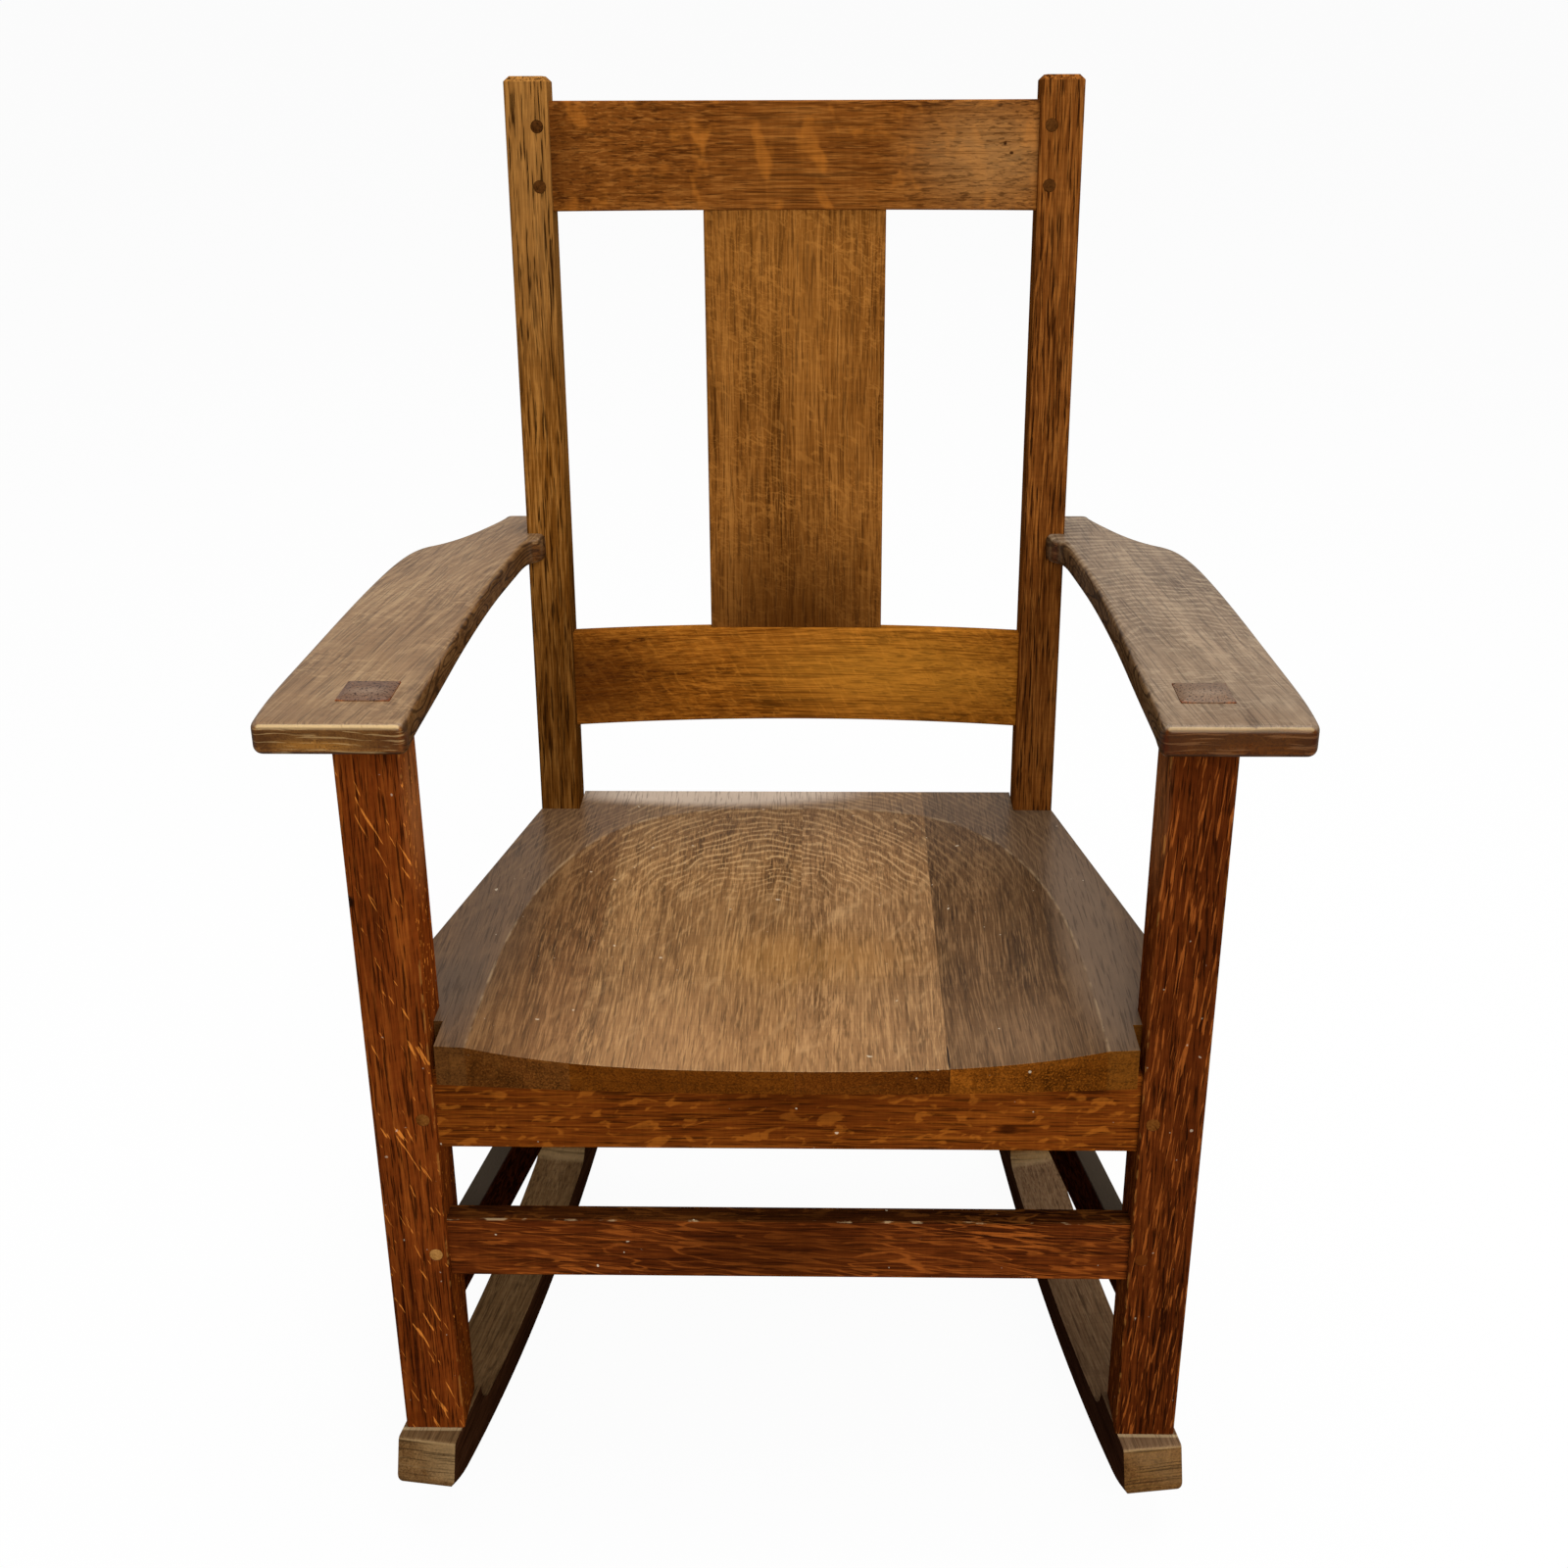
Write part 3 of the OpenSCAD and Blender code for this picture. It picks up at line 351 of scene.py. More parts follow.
post_colours = {
    "left": [(56, 20, 5), (112, 50, 14), (152, 80, 27), (224, 134, 52), (34, 11, 3)],
    "right": [(42, 15, 4), (81, 34, 9), (112, 54, 17), (164, 88, 34), (27, 9, 3)]}
post_rays = {
    "left": {"ray": (2.3, 2.8, 26), "ray_slope": -22, "ray_share": 0.355, "ray_amount": 1.0,
             "streaks": 0.3},
    "right": {"ray": (1.9, 2.4, 30), "ray_slope": 5, "ray_share": 0.42, "streaks": 0.4}}
tenon_tops = {"left": (104, 80, 62), "right": (116, 94, 74)}
for side, hand in (("left", -1), ("right", 1)):
    post = timber["front_post_" + side]
    finish(post, oak(
        "front post oak " + side, 40 + 3 * hand, "z", post_colours[side], fine=(1.5, 1.5, 34),
        pores=0.8, ripple=(16, 12, 5), ripple_slope=20 * hand, ripple_amount=0.2, polish=0.25,
        specks=0.35, **post_rays[side],
        # Painted light on both side faces, lighter than the front, and pale front corners, partly wear
        # and partly painted highlight
        faces=(((1.0, 0.0, 0.0), (1.3, 1.3, 1.2), "MULTIPLY"),
               ((-1.0, 0.0, 0.0), (1.35, 1.45, 1.6), "MULTIPLY")),
        glints=(((0.7, -0.7, 0.0), (190, 130, 60), 0.35), ((-0.7, -0.7, 0.0), (190, 130, 60), 0.35)),
        # Painted light on the upper inner side, the tenon's end grain painted paler as lit from above
        # with a painted highlight on its dome, and a chip in the left post
        spots=(((hand * 241, 25, 500), (6, 40, 90), (176, 120, 72), 0.3, 0.9),
               ((hand * 262.5, 21.5, 600), (60, 60, 26), tenon_tops[side], 0.85, 0.05),
               ((hand * 262.5, 15, 580), (20, 10, 9), (168, 146, 124), 0.3, 0.9),
               ((-284, 0, 438), (5, 12, 6), (28, 15, 8), 0.95, 0.5))))
    ease(post, 0.6)

# ---------------------------------------------------------------- Rear posts
# Lighter posts, 32.5 by 32 mm, that lean back and carry the whole back. Straight grained and
# golden brown, with chamfered tops.

rear_colours = {
    "left": [(56, 29, 6), (114, 68, 20), (168, 114, 52), (174, 114, 48), (38, 18, 3)],
    "right": [(54, 25, 6), (110, 60, 20), (156, 96, 40), (164, 98, 38), (38, 16, 4)]}
for side, hand in (("left", -1), ("right", 1)):
    post = timber["rear_post_" + side]
    finish(post, oak(
        "rear post oak " + side, 52 + 3 * hand, "z", rear_colours[side], lies_in=BACK, wander=5,
        lines=0.65, ray=(3, 4, 40), ray_slope=4, ray_share=0.4, ray_amount=0.4, pores=0.9, streaks=0.7,
        spots=(((-202, 16, 520), (60, 60, 240), (178, 126, 66), 0.45, 0.9),
               ((-202, 16, 60), (60, 60, 260), (50, 22, 4), 0.6, 0.9),
               ((202, 16, 40), (60, 60, 200), (56, 24, 4), 0.2, 0.9))))
    ease(post, 0.6)

# ---------------------------------------------------------------- Seat rails
# Four rails under the seat, tenoned into the posts. The front one shows golden flecks on an
# orange brown, and the others stay dark in the shade of the seat.

rail_colours = [(62, 25, 4), (106, 49, 11), (146, 78, 21), (176, 100, 30), (42, 16, 3)]
side_rail_colours = [(56, 26, 7), (92, 48, 18), (124, 70, 28), (146, 86, 34), (38, 17, 5)]


def side_rail_light_and_shade(hand):
    """A side rail's top is painted a greyer brown, as lit with a sheen, and its inner face is painted
    very dark as shade.
    """
    return ((UP, (0.1, 0.075, 0.052), "MIX"), ((-hand, 0.0, 0.0), (0.2, 0.13, 0.16), "MULTIPLY"))


finish(timber["front_seat_rail"], oak(
    "front rail oak", 61, "x", rail_colours, ray=(7, 8, 14), ray_slope=14, ray_share=0.45,
    ray_soft=0.1, ray_amount=0.6, pores=0.7, specks=0.6,
    # A small dark knot, and a painted shadow in the middle under the seat's bowed front edge
    spots=(((152, 3, 262), (9, 20, 5), (48, 18, 4), 0.8, 0.6),
           ((0, 3, 285), (90, 20, 40), (74, 30, 5), 0.5, 0.9))))
finish(timber["rear_seat_rail"], oak("rear rail oak", 63, "x", rail_colours, lies_in=BACK))
# How far the rails and stretchers at the sides turn in towards the back
SIDE_TOE = math.atan(0.16405)
for side, hand in (("left", -1), ("right", 1)):
    finish(timber["side_seat_rail_" + side], oak(
        "side rail oak " + side, 66 + 3 * hand, "y", side_rail_colours, toe=hand * SIDE_TOE,
        ray=(4, 4, 20), faces=side_rail_light_and_shade(hand)))
for name in ("front_seat_rail", "rear_seat_rail", "side_seat_rail_left", "side_seat_rail_right"):
    ease(timber[name], 0.5)

# ---------------------------------------------------------------- Stretchers
# A 49 mm stretcher between the front posts, others between the posts at the sides and behind.
# Red brown with wavy orange streaks, pale along the upper edge where heels rest, from wear with a
# painted highlight, and painted darker and greyer on top as shade and sheen.

stretcher_colours = [(48, 18, 6), (88, 38, 11), (124, 60, 19), (170, 90, 32), (32, 11, 4)]
finish(timber["front_stretcher"], oak(
    "front stretcher oak", 71, "x", stretcher_colours, wander=14, ray=(3, 6, 42), ray_slope=-7,
    ray_share=0.42, ray_amount=0.5, veins=0.7, vein=(6, 8, 50), vein_slope=-6, specks=0.8,
    # Painted shade and sheen make the top face darker and greyer; the pale upper edge is wear with a
    # painted highlight
    faces=((UP, (0.6, 0.75, 0.9), "MULTIPLY"),), glints=((UPPER_ARRIS, (190, 160, 118), 0.6),),
    spots=(((-10, 10, 160), (130, 20, 60), (58, 23, 5), 0.75, 0.9),)))
finish(timber["rear_stretcher"], oak("rear stretcher oak", 73, "x", stretcher_colours, lies_in=BACK))
for side, hand in (("left", -1), ("right", 1)):
    finish(timber["side_stretcher_" + side], oak(
        "side stretcher oak " + side, 76 + 3 * hand, "y", side_rail_colours, toe=hand * SIDE_TOE,
        ray=(4, 4, 20), faces=side_rail_light_and_shade(hand)))
for name in ("front_stretcher", "rear_stretcher", "side_stretcher_left", "side_stretcher_right"):
    ease(timber[name], 0.5)

# ---------------------------------------------------------------- Corner blocks and seat screws
# Sawn oak blocks glued inside the seat frame, each with a steel screw up into the seat.

block_colours = [(112, 76, 42), (146, 102, 60), (176, 132, 84), (186, 144, 94), (84, 54, 28)]
block_oak = oak("corner block oak", 81, "x", block_colours, ray_amount=0.3)
for name in ("front_corner_blocks", "rear_corner_blocks"):
    finish(timber[name], block_oak)
    ease(timber[name], 0.8)


def steel(name, seed):
    """Old screw steel, dulled and freckled with rust."""
    metal = Wood(name, POSTS, 0.0, "z", seed, 0.0)
    rust = metal.fade(metal.figure((2.0, 2.0, 2.0), detail=3.0), 0.48, 0.66)
    brushed = metal.figure((0.3, 0.3, 4.0), detail=2.0)
    colour = metal.blend(rust, stain(150, 146, 138), stain(96, 62, 40))
    height = rust + brushed
    bump = metal.add("ShaderNodeBump", {}, {"Strength": 0.3, "Distance": 0.0002, "Height": height})
    shader = metal.add("ShaderNodeBsdfPrincipled", {}, {
        "Base Color": colour, "Metallic": 1.0 - rust, "Normal": bump,
        "Roughness": 0.3 + 0.4 * rust + 0.1 * brushed})
    metal.add("ShaderNodeOutputMaterial", {}, {0: shader})
    return metal.material


screw_steel = steel("screw steel", 85)
finish(timber["seat_screws"], screw_steel)

# ---------------------------------------------------------------- Seat
# Four oak boards, glued edge to edge and scooped together to one wide dish that runs out over
# the bowed front edge. Fine pores run front to back and thin pale rays arch across them.

# In mm: the seat's faces, the posts' outer and inner sides and their depths, and how far back
# the seat runs beside the rear posts and between them
SEAT_HIGH, SEAT_LOW = 336.0, 306.0
FRONT_HALF, FRONT_IN, POST = 284.0, 241.0, 43.0
REAR_HALF, REAR_IN, REAR_DEPTH = 218.5, 186.0, 32.0
SEAT_RUN, SEAT_BACK = 374.0, 412.0
# How far the front edge stands out at its corners and how much its bow adds, the relief beside
# the front posts and the play round all posts
CORNER, BOW, RELIEF, GAP = 11.0, 9.0, 6.5, 0.15
# The scoop: half its width, where it starts and its run in mm, and how square it is
DISH = (214.0, -29.0, 405.0, 3.2)


def seat_edge():
    """The seat's outline, anticlockwise from the middle of its front edge."""
    inner, steps = FRONT_IN - RELIEF, 24
    half = [(inner * i / steps, -CORNER - BOW * (1 - (i / steps) ** 2)) for i in range(steps + 1)]
    half += [(inner, POST / 2), (FRONT_IN - GAP, POST / 2), (FRONT_IN - GAP, POST + GAP),
             (FRONT_HALF, POST + GAP), (REAR_HALF, SEAT_RUN), (REAR_HALF, SEAT_RUN - GAP),
             (REAR_IN - GAP, SEAT_RUN - GAP), (REAR_IN - GAP, SEAT_BACK)]
    return half + [(-x, y) for x, y in half[:0:-1]]


def sawn(name, outline, low, high):
    """A board sawn to an outline, all in mm in the posts' frame."""
    bpy.ops.object.select_all(action="DESELECT")
    bpy.ops.mesh.primitive_circle_add(vertices=len(outline), fill_type="NGON")
    board = bpy.context.object
    board.name = name
    for corner, (x, y) in zip(board.data.vertices, outline):
        corner.co = (x / 1000, y / 1000, low / 1000)
    bpy.ops.object.mode_set(mode="EDIT")
    bpy.ops.mesh.select_all(action="SELECT")
    bpy.ops.mesh.extrude_region_move(TRANSFORM_OT_translate={"value": (0.0, 0.0, (high - low) / 1000)})
    bpy.ops.mesh.select_all(action="SELECT")
    bpy.ops.mesh.normals_make_consistent(inside=False)
    bpy.ops.object.mode_set(mode="OBJECT")
    return board


def dish_point(s, turn):
    """A point of the scoop: s runs from 0 in its middle to 1 at its rim."""
    wide, front, run, power = DISH
    cos, sin = math.cos(turn), math.sin(turn)
    side = math.copysign(abs(cos) ** (2 / power), cos)
    back = math.copysign(abs(sin) ** (2 / power), sin)
    deep = 12.0 + 5.0 * math.sin(math.pi * min(s * abs(back), 0.5))
    return s * wide * side, front + s * run * back, SEAT_HIGH - deep * (1 - s ** power)


def carve(board, tool):
    """Cuts the tool's shape out of the board."""
    cut = board.modifiers.new("cut", "BOOLEAN")
    cut.object = tool
    cut.solver = "EXACT"
    bpy.context.view_layer.objects.active = board
    bpy.ops.object.modifier_apply(modifier=cut.name)
    bpy.data.objects.remove(tool)


def part_off(board, x, keep_right):
    """Saws a board along the grain at x and keeps one side of it."""
    bpy.ops.object.select_all(action="DESELECT")
    board.select_set(True)
    bpy.context.view_layer.objects.active = board
    bpy.ops.object.mode_set(mode="EDIT")
    bpy.ops.mesh.select_all(action="SELECT")
    bpy.ops.mesh.bisect(plane_co=(x / 1000, 0, 0), plane_no=(1, 0, 0), use_fill=True,
                        clear_inner=keep_right, clear_outer=not keep_right)
    bpy.ops.object.mode_set(mode="OBJECT")


def round_over(board, width, segments, angle=30.0):
    """Rounds a board's sharp edges and keeps the result."""
    bpy.context.view_layer.objects.active = board
    worn = board.modifiers.new("rounded edges", "BEVEL")
    worn.width = width / 1000
    worn.segments = segments
    worn.limit_method = "ANGLE"
    worn.angle_limit = math.radians(angle)
    bpy.ops.object.modifier_apply(modifier=worn.name)


def settle(piece, smooth_angle):
    """Leans a finished piece back with the chair, from the posts' frame to its place."""
    stands_at = (0.0, -0.269594, 0.074384)
    piece.data.transform(Matrix.Translation(stands_at) @ Matrix.Rotation(math.radians(-LEAN), 4, "X"))
    bpy.ops.object.select_all(action="DESELECT")
    piece.select_set(True)
    bpy.context.view_layer.objects.active = piece
    bpy.ops.object.shade_smooth_by_angle(angle=math.radians(smooth_angle))


seat = sawn("seat_blank", seat_edge(), SEAT_LOW, SEAT_HIGH)
bpy.ops.object.select_all(action="DESELECT")
bpy.ops.mesh.primitive_uv_sphere_add(segments=192, ring_count=64)
dish = bpy.context.object
# The tool is the scoop, taken a little past its rim, under a flat lid above the seat
past_rim, lid = 1.02, 0.37
for corner in dish.data.vertices:
    reach = math.hypot(corner.co.x, corner.co.y)
    x, y, z = dish_point(past_rim * reach, math.atan2(corner.co.y, corner.co.x))
    corner.co = (x / 1000, y / 1000, z / 1000 if corner.co.z < 0.001 else lid)
carve(seat, dish)

board_colours = [
    [(66, 44, 22), (108, 72, 40), (152, 110, 68), (176, 134, 86), (42, 26, 12)],
    [(78, 52, 28), (128, 91, 54), (174, 132, 84), (206, 166, 114), (50, 32, 16)],
    [(80, 54, 30), (130, 94, 59), (176, 134, 88), (206, 166, 116), (52, 34, 18)],
    [(60, 41, 24), (94, 66, 40), (134, 100, 66), (150, 116, 78), (38, 25, 13)]]
# Painted light and shade on each board's front edge, as a tint by the way the face looks
board_fronts = [(0.62, 0.42, 0.2), (0.4, 0.21, 0.05), (0.38, 0.19, 0.05), (1.2, 0.66, 0.14)]
# Light and dark places: where, how far they reach, their colour, how strong and how soft. The first is a
# painted reflection along the back edge, and the fourth is painted warm light in the middle of the dish
seat_marks = (((-70, 408, 336), (150, 34, 20), (250, 226, 202), 0.95, 0.5),
              ((170, 20, 330), (80, 70, 12), (146, 112, 80), 0.4, 0.9),
              ((-40, 10, 330), (200, 130, 80), (190, 140, 92), 0.3, 0.9),
              ((20, 140, 322), (120, 60, 30), (176, 124, 60), 0.3, 0.9),
              ((-222, 190, 336), (46, 210, 14), (84, 68, 54), 0.4, 0.6),
              ((222, 150, 336), (34, 210, 14), (156, 128, 102), 0.6, 0.6),
              ((-240, 60, 336), (40, 90, 14), (58, 52, 48), 0.6, 0.8),
              ((234, 40, 336), (30, 70, 14), (76, 66, 58), 0.25, 0.8),
              ((108.6, -3, 322), (0.9, 19, 30), (24, 12, 5), 0.95, 0.3))
# Where the boards meet, in mm from the middle
joints = [-144.0, 6.0, 109.0]
for number in range(4):
    name = f"seat_board_{number + 1}"
    board = seat.copy()
    board.data = seat.data.copy()
    board.name = f"scooped_board_{number + 1}"
    bpy.context.scene.collection.objects.link(board)
    if number > 0:
        part_off(board, joints[number - 1], True)
    if number < 3:
        part_off(board, joints[number], False)
    round_over(board, 0.7, 2)
    settle(board, 4.0)
    finish(board, oak(
        name + " oak", 90 + 3 * number, "y", board_colours[number], wander=16,
        line_size=(1.6, 1.6, 50), fine=(1.4, 1.4, 34), ray=(12, 10, 40), ray_share=0.46,
        ray_soft=0.2, ray_amount=0.3, arch=(-20, 130, 8.5, 190, 0.6), polish=0.25, streaks=0.7,
        pores=0.42, specks=0.5, whole=0.5, scoop=DISH, spots=seat_marks,
        # Painted shade on the front edge, and a painted highlight along its upper arris
        faces=((FRONT, board_fronts[number], "MULTIPLY"),),
        glints=((UPPER_ARRIS, (240, 204, 146), 0.9),),
        scores=((FRONT, (34, 2.0, 30), (50, 28, 8), 0.25), (FRONT, (2.2, 26, 30), (52, 30, 10), 0.2))))
    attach(board, "root")
    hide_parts(name)
bpy.data.objects.remove(seat)

# ---------------------------------------------------------------- Arms
# Flat oak boards, 21 mm thick and rounded along their edges, sawn to a long curve. Each drops
# over its front post's tenon and is notched round its rear post, with one screw from outside.

# The arms' faces and width in mm, and how far their grain turns in towards the back
ARM_LOW, ARM_HIGH, ARM_WIDTH, ARM_TOE = 555.0, 575.8, 95.0, 0.12
# The outline, in shares of the arm's length from its front and of its width from its middle line
arm_shares = [
    (0, -0.44), (0, -0.295), (0, 0.4), (0, 0.562), (0.042, 0.604), (0.115, 0.655),
    (0.275, 0.72), (0.455, 0.796), (0.592, 0.842), (0.72, 0.862), (0.793, 0.81),
    (0.822, 0.646), (0.872, 0.51), (0.944, 0.4), (0.977, 0.36), (1, 0.353),
    (1, 0.21), (1, 0.03), (0.903, -0.115), (0.869, -0.168), (0.849, -0.15),
    (0.832, -0.06), (0.737, -0.075), (0.606, -0.1), (0.405, -0.19),
    (0.198, -0.318), (0.053, -0.4), (0.028, -0.424)]
post_middle = (FRONT_HALF - POST / 2, POST / 2)
rear_face = SEAT_RUN + (ARM_LOW - SEAT_HIGH) * math.tan(math.radians(BACK_LEAN))
arm_front, arm_back = -35.5, rear_face + 60.0


def arm_line(y):
    """The line from the front post's middle to the rear post's outer face."""
    x0, y0 = post_middle
    return x0 + (REAR_HALF - x0) * (y - y0) / (rear_face - y0)


def corner_cutting(points, times):
    """An outline with its corners cut again and again, towards a smooth curve."""
    for _ in range(times):
        pairs = zip(points, points[1:] + points[:1])
        points = [(a * p[0] + (1 - a) * q[0], a * p[1] + (1 - a) * q[1])
                  for p, q in pairs for a in (0.75, 0.25)]
    return points


arm_outline = []
for run, out in arm_shares:
    y = arm_front + run * (arm_back - arm_front)
    arm_outline.append((arm_line(y) + out * ARM_WIDTH, y))
right_arm = sawn("shaped_arm_right", corner_cutting(arm_outline, 3), ARM_LOW, ARM_HIGH)
round_over(right_arm, 5.0, 6, 60.0)


def block(x0, x1, y0, y1, z0, z1):
    """A plain block as a cutting tool, its limits in mm."""
    bpy.ops.object.select_all(action="DESELECT")
    bpy.ops.mesh.primitive_cube_add(size=1.0)
    tool = bpy.context.object
    tool.data.transform(Matrix.Translation(((x0 + x1) / 2000, (y0 + y1) / 2000, (z0 + z1) / 2000))
                        @ Matrix.Diagonal(((x1 - x0) / 1000, (y1 - y0) / 1000, (z1 - z0) / 1000, 1.0)))
    return tool


tenon_hole = 17.15
carve(right_arm, block(post_middle[0] - tenon_hole, post_middle[0] + tenon_hole,
                       post_middle[1] - tenon_hole, post_middle[1] + tenon_hole, 500, 620))
notch = block(0, REAR_HALF + GAP, -GAP, 200, 150, 330)
notch.data.transform(Matrix.Translation((0, SEAT_RUN / 1000, SEAT_HIGH / 1000))
                     @ Matrix.Rotation(math.radians(-BACK_LEAN), 4, "X"))
carve(right_arm, notch)
bore_y = rear_face + REAR_DEPTH / 2
bore_x = arm_line(bore_y) + 0.4 * ARM_WIDTH
bore_radius, bore_length, bore_height = 0.00465, 0.08, 0.5654
bpy.ops.mesh.primitive_cylinder_add(
    vertices=48, radius=bore_radius, depth=bore_length, rotation=(0, math.radians(90), 0),
    location=(bore_x / 1000 + bore_length / 2, bore_y / 1000, bore_height))
bore = bpy.context.object
bore.data.transform(bore.matrix_world)
bore.matrix_world = Matrix.Identity(4)
carve(right_arm, bore)
round_over(right_arm, 0.35, 2, 60.0)
left_arm = right_arm.copy()
left_arm.data = right_arm.data.copy()
left_arm.name = "shaped_arm_left"
bpy.context.scene.collection.objects.link(left_arm)
left_arm.data.transform(Matrix.Diagonal((-1.0, 1.0, 1.0, 1.0)))
left_arm.data.flip_normals()
arm_colours = {
    "left": [(86, 60, 36), (128, 97, 66), (158, 128, 92), (176, 144, 104), (58, 38, 22)],
    "right": [(80, 61, 45), (120, 98, 76), (150, 126, 100), (170, 148, 120), (54, 40, 28)]}
# Painted light on the arms' front edges: pale streaks of painted glints, the tint of the front faces, a
# painted highlight along the upper edge and a golden painted highlight band below it
arm_front_glints = {"left": (226, 188, 128), "right": (150, 104, 66)}
arm_fronts = {"left": (0.97, 0.68, 0.32), "right": (0.5, 0.21, 0.04)}
arm_shine = {"left": 0.6, "right": 0.35}
arm_rays = {"left": 0.2, "right": 0.45}
arm_front_highlight = {"left": 0.85, "right": 0.2}


def arm_marks(side, hand):
    """The light and dark places at an arm's front end and along its inner side; the second is a painted
    highlight, a golden band along the front edge.
    """
    return (((hand * 272, -20, 576), (80, 26, 8), (120, 92, 66), 0.3, 0.9),
            ((hand * 284, -36, 562.5), (38, 8, 4.5), (206, 164, 102), arm_front_highlight[side], 0.8),
            ((hand * 214, 40, 564), (18, 90, 9), (104, 60, 24), 0.7, 0.6),
            ((hand * 318, -30, 566), (16, 22, 9), (70, 42, 18), 0.7, 0.7),
            ((hand * 230, -34, 564), (24, 12, 12), (84, 42, 12), 0.75, 0.8),
            ((hand * 188, 372, 562), (30, 40, 13), (92, 58, 30), 0.6, 0.6))


for side, hand, arm in (("left", -1, left_arm), ("right", 1, right_arm)):
    settle(arm, 35.0)
    inner, outer = (-hand, 0.0, 0.0), (hand, 0.0, 0.0)
    finish(arm, oak(
        "arm oak " + side, 110 + 4 * hand, "y", arm_colours[side], toe=hand * ARM_TOE, wander=14,
        line_size=(1.4, 1.4, 80), lines=0.35, fine=(1.3, 1.3, 50), ray=(14, 10, 30), ray_slope=15,
        ray_share=0.46, ray_soft=0.2, ray_amount=0.3, veins=0.3, vein=(20, 10, 7), vein_slope=12,
        polish=0.3, gloss=0.15, whole=0.6, streaks=0.4, pores=0.45,
        arch=(275, 10, 10, 30, arm_rays[side]), spots=arm_marks(side, hand),
        # Painted shade on the front, outer and inner faces; a painted highlight along the upper front
        # edge, and painted shade on the lower rounding and below the highlight
        faces=((FRONT, arm_fronts[side], "MULTIPLY"), (outer, (0.8, 0.72, 0.6), "MULTIPLY"),
               (inner, (0.6, 0.48, 0.34), "MULTIPLY")),
        glints=(((0.0, -0.72, 0.69), (232, 200, 146), arm_shine[side]),
                ((0.0, -0.8, -0.6), (58, 32, 12), 0.9), ((0.0, -0.94, 0.34), (66, 38, 14), 0.6)),
        contours=(inner, (40, 22, 90), (40, 24, 12), 0.7),
        # Dark grain lines on the front faces, and pale streaks of painted highlight
        scores=((FRONT, (40, 2.4, 30), (48, 26, 10), 0.35),
                (FRONT, (26, 1.8, 30), arm_front_glints[side], 0.28))))
    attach(arm, "root")
    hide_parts("arm_" + side)
finish(timber["arm_screws"], screw_steel)

# ---------------------------------------------------------------- Back rails and splat
# Two rails bowed backwards, tenoned into the rear posts, and one wide flat splat between them.
# The broadest figure of the chair is here: golden flakes across the crest rail.

crest_colours = [(72, 35, 9), (120, 67, 22), (160, 100, 42), (184, 110, 38), (46, 21, 6)]
low_colours = [(80, 40, 7), (134, 76, 18), (178, 110, 36), (196, 124, 42), (50, 24, 5)]
splat_colours = [(80, 44, 11), (130, 79, 29), (170, 112, 50), (184, 122, 54), (52, 26, 8)]


def fine_lines(thick, length, paint, amount):
    """Fine dark lines along the grain, on the front and the back of a rail."""
    return tuple((way, (thick, 20, length), paint, amount) for way in (FRONT, REAR))


finish(timber["crest_rail"], oak(
    "crest rail oak", 121, "x", crest_colours, lies_in=BACK, wander=6, ray=(32, 14, 20),
    ray_slope=16, ray_share=0.485, ray_soft=0.18, ray_amount=0.65, streaks=0.6, pores=0.55,
    scores=fine_lines(1.5, 90, (78, 40, 8), 0.4),
    # A painted shadow at the left end, beside the left post
    spots=(((-190, 20, 530), (46, 60, 80), (64, 30, 6), 0.45, 0.9),
           ((150, 20, 530), (90, 60, 60), (190, 142, 86), 0.4, 0.9),
           ((161, 20, 540), (1.6, 60, 2.0), (40, 16, 4), 0.9, 0.5),
           ((166, 20, 533), (2.0, 60, 1.6), (40, 16, 4), 0.9, 0.5))))
finish(timber["lower_back_rail"], oak(
    "lower rail oak", 126, "x", low_colours, lies_in=BACK, wander=12, ray=(18, 12, 4),
    ray_slope=32, ray_share=0.42, ray_soft=0.1, ray_amount=0.3, veins=0.25, vein=(6, 10, 26),
    vein_slope=-8, lines=0.7, fine=(1.4, 1.4, 60), pores=0.35, ripple=(24, 20, 5),
    ripple_slope=32, ripple_amount=0.3, scores=fine_lines(1.4, 110, (92, 46, 6), 0.55),
    spots=(((-190, 20, 110), (120, 60, 80), (66, 30, 9), 0.75, 0.9),
           ((90, 20, 115), (180, 60, 60), (212, 144, 48), 0.42, 0.9))))
finish(timber["back_splat"], oak(
    "splat oak", 131, "z", splat_colours, lies_in=BACK, wander=8, ray=(12, 12, 5), ray_slope=30,
    ray_share=0.42, ray_soft=0.1, ray_amount=0.35, veins=0.35, vein=(9, 10, 5), vein_slope=20,
    fine=(1.4, 1.4, 34), pores=0.5,
    spots=(((0, 30, 130), (160, 60, 160), (60, 28, 4), 0.75, 0.9),
           ((-30, 30, 430), (110, 60, 130), (184, 120, 50), 0.15, 0.9))))
for name in ("crest_rail", "lower_back_rail", "back_splat"):
    ease(timber[name], 0.5)

# ---------------------------------------------------------------- Pegs
# Turned oak pegs through the tenons, cut off flush with the posts. Their end grain has drunk
# more stain than the wood round it.

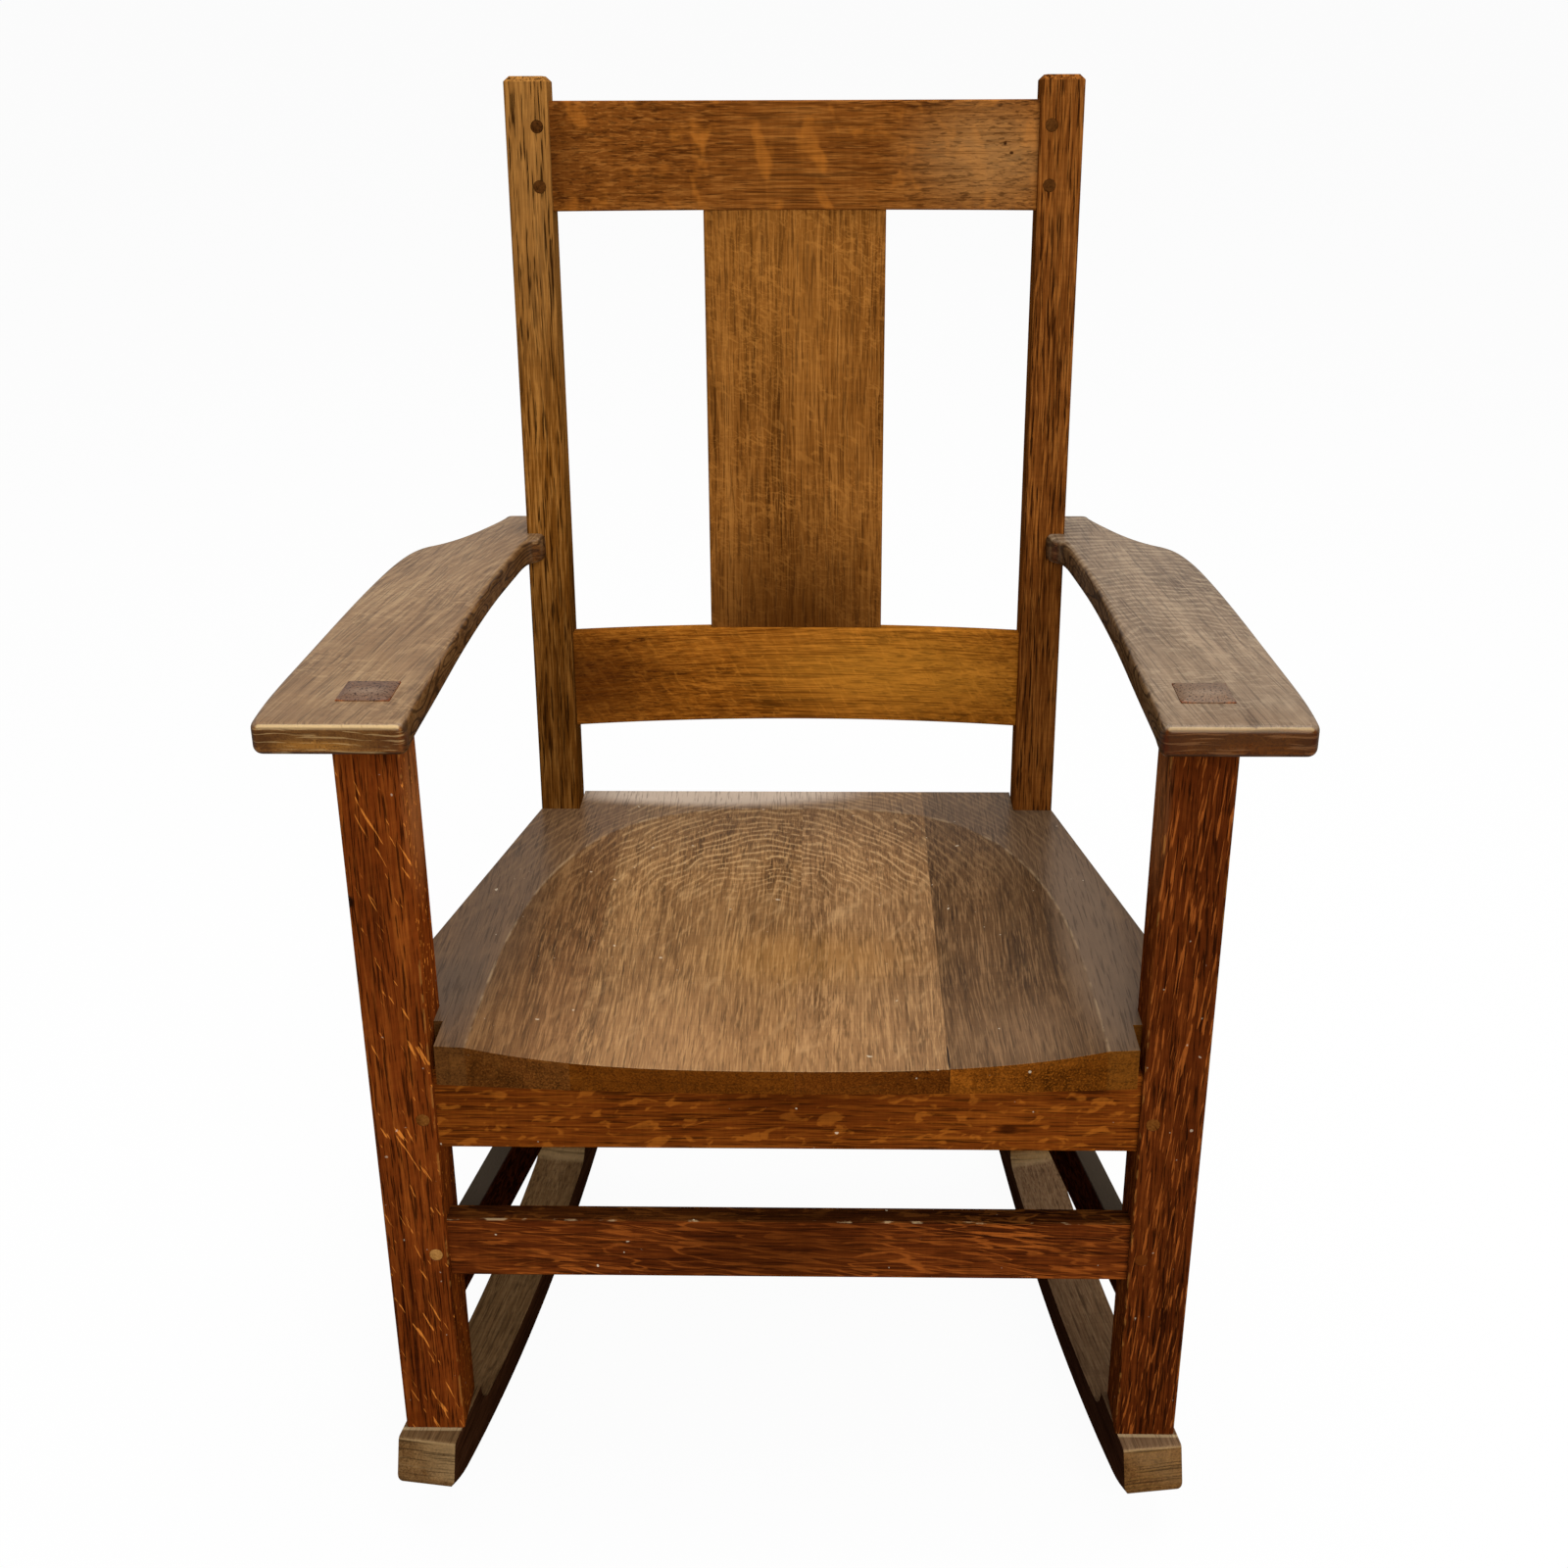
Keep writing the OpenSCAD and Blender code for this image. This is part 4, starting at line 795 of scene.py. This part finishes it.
peg_colours = [(48, 25, 7), (82, 47, 17), (106, 64, 26), (110, 68, 28), (36, 18, 5)]
low_peg_colours = [(66, 32, 8), (106, 60, 20), (132, 82, 34), (136, 84, 34), (44, 20, 5)]
light_peg_colours = [(112, 72, 30), (162, 112, 56), (190, 138, 76), (196, 144, 80), (76, 46, 18)]
peg_figure = {"ray_amount": 0.0, "pores": 0.3, "streaks": 0.2}
finish(timber["crest_rail_pegs"], oak("back peg oak", 141, "y", peg_colours, lies_in=BACK, **peg_figure))
finish(timber["front_rail_pegs"], oak("rail peg oak", 143, "y", low_peg_colours, **peg_figure))
finish(timber["stretcher_pegs"], oak(
    "stretcher peg oak", 145, "y", light_peg_colours, **peg_figure,
    spots=(((249, 0, 157), (40, 40, 40), (92, 40, 8), 0.95, 0.2),)))
for name in ("crest_rail_pegs", "front_rail_pegs", "stretcher_pegs"):
    ease(timber[name], 0.4)

# ---------------------------------------------------------------- Studio
# A plain white floor and surround, a wide soft light overhead and another in front, and the
# camera where the photograph was taken from.


def seen_straight(nodes, links):
    """1 for what the camera sees, also in a reflection or through glass."""
    path = nodes.new("ShaderNodeLightPath")
    total = path.outputs["Is Camera Ray"]
    for kind in ("Is Glossy Ray", "Is Transmission Ray"):
        both = nodes.new("ShaderNodeMath")
        both.use_clamp = True
        links.new(total, both.inputs[0])
        links.new(path.outputs[kind], both.inputs[1])
        total = both.outputs[0]
    return total


def plain_white(name, shown, bounced):
    """White as the camera sees it, with a little of the shadow. The wood gets less light back."""
    shade = bpy.data.materials.new(name)
    shade.use_nodes = True
    nodes, links = shade.node_tree.nodes, shade.node_tree.links
    nodes.clear()
    seen = seen_straight(nodes, links)
    share = nodes.new("ShaderNodeMath")
    share.operation = "MULTIPLY"
    share.inputs[1].default_value = shown
    links.new(seen, share.inputs[0])
    paint = nodes.new("ShaderNodeMapRange")
    paint.inputs["To Min"].default_value = bounced
    paint.inputs["To Max"].default_value = 0.9
    links.new(seen, paint.inputs["Value"])
    matt = nodes.new("ShaderNodeBsdfDiffuse")
    links.new(paint.outputs[0], matt.inputs["Color"])
    glow = nodes.new("ShaderNodeEmission")
    glow.inputs["Strength"].default_value = 1.0
    both = nodes.new("ShaderNodeMixShader")
    links.new(share.outputs[0], both.inputs[0])
    links.new(matt.outputs[0], both.inputs[1])
    links.new(glow.outputs[0], both.inputs[2])
    end = nodes.new("ShaderNodeOutputMaterial")
    links.new(both.outputs[0], end.inputs[0])
    return shade


bpy.ops.object.select_all(action="DESELECT")
bpy.ops.mesh.primitive_plane_add(size=60.0)
floor = bpy.context.object
floor.name = "floor"
finish(floor, plain_white("floor white", 0.955, 0.35))

world = bpy.data.worlds.new("surround")
bpy.context.scene.world = world
world.use_nodes = True
nodes, links = world.node_tree.nodes, world.node_tree.links
nodes.clear()
soft = nodes.new("ShaderNodeBackground")
soft.inputs["Strength"].default_value = 0.3
white = nodes.new("ShaderNodeBackground")
white.inputs["Strength"].default_value = 1.0
for ground in (soft, white):
    ground.inputs["Color"].default_value = (1.0, 1.0, 1.0, 1.0)
both = nodes.new("ShaderNodeMixShader")
links.new(seen_straight(nodes, links), both.inputs[0])
links.new(soft.outputs[0], both.inputs[1])
links.new(white.outputs[0], both.inputs[2])
end = nodes.new("ShaderNodeOutputWorld")
links.new(both.outputs[0], end.inputs[0])


def lamp(name, place, aim, size, watts):
    """A soft square light that looks at a place."""
    light = bpy.data.lights.new(name, "AREA")
    light.shape = "SQUARE"
    light.size = size
    light.energy = watts
    shown = bpy.data.objects.new(name, light)
    shown.location = place
    shown.rotation_euler = (Vector(aim) - Vector(place)).to_track_quat("-Z", "Y").to_euler()
    bpy.context.scene.collection.objects.link(shown)


lamp("overhead light", (0.2, 0.5, 2.6), (0.0, 0.0, 0.3), 2.2, 48.0)
lamp("front light", (0.6, -2.6, 1.9), (0.0, 0.0, 0.4), 1.8, 62.0)

bpy.context.scene.view_settings.view_transform = "Standard"
camera = bpy.data.cameras.new("camera")
camera.sensor_width = 36.0
camera.lens = 41.885
camera.shift_x = -0.00798
camera.shift_y = -0.01087
camera.clip_end = 100.0
eye = bpy.data.objects.new("camera", camera)
yaw, pitch, roll = math.radians(1.118), math.radians(22.978), math.radians(-0.257)
turn = Matrix.Rotation(yaw, 3, "Z")
ahead = turn @ Vector((0.0, math.cos(pitch), -math.sin(pitch)))
above = turn @ Vector((0.0, math.sin(pitch), math.cos(pitch)))
beside = turn @ Vector((1.0, 0.0, 0.0))
right_hand = math.cos(roll) * beside + math.sin(roll) * above
upward = math.cos(roll) * above - math.sin(roll) * beside
leaned = Matrix.Rotation(math.radians(-LEAN), 3, "X")
axes = Matrix((leaned @ right_hand, leaned @ upward, -(leaned @ ahead))).transposed()
stands_at = (0.0284, -1.203713, 1.167373)
eye.matrix_world = Matrix.Translation(stands_at) @ axes.to_4x4()
bpy.context.scene.collection.objects.link(eye)
bpy.context.scene.camera = eye
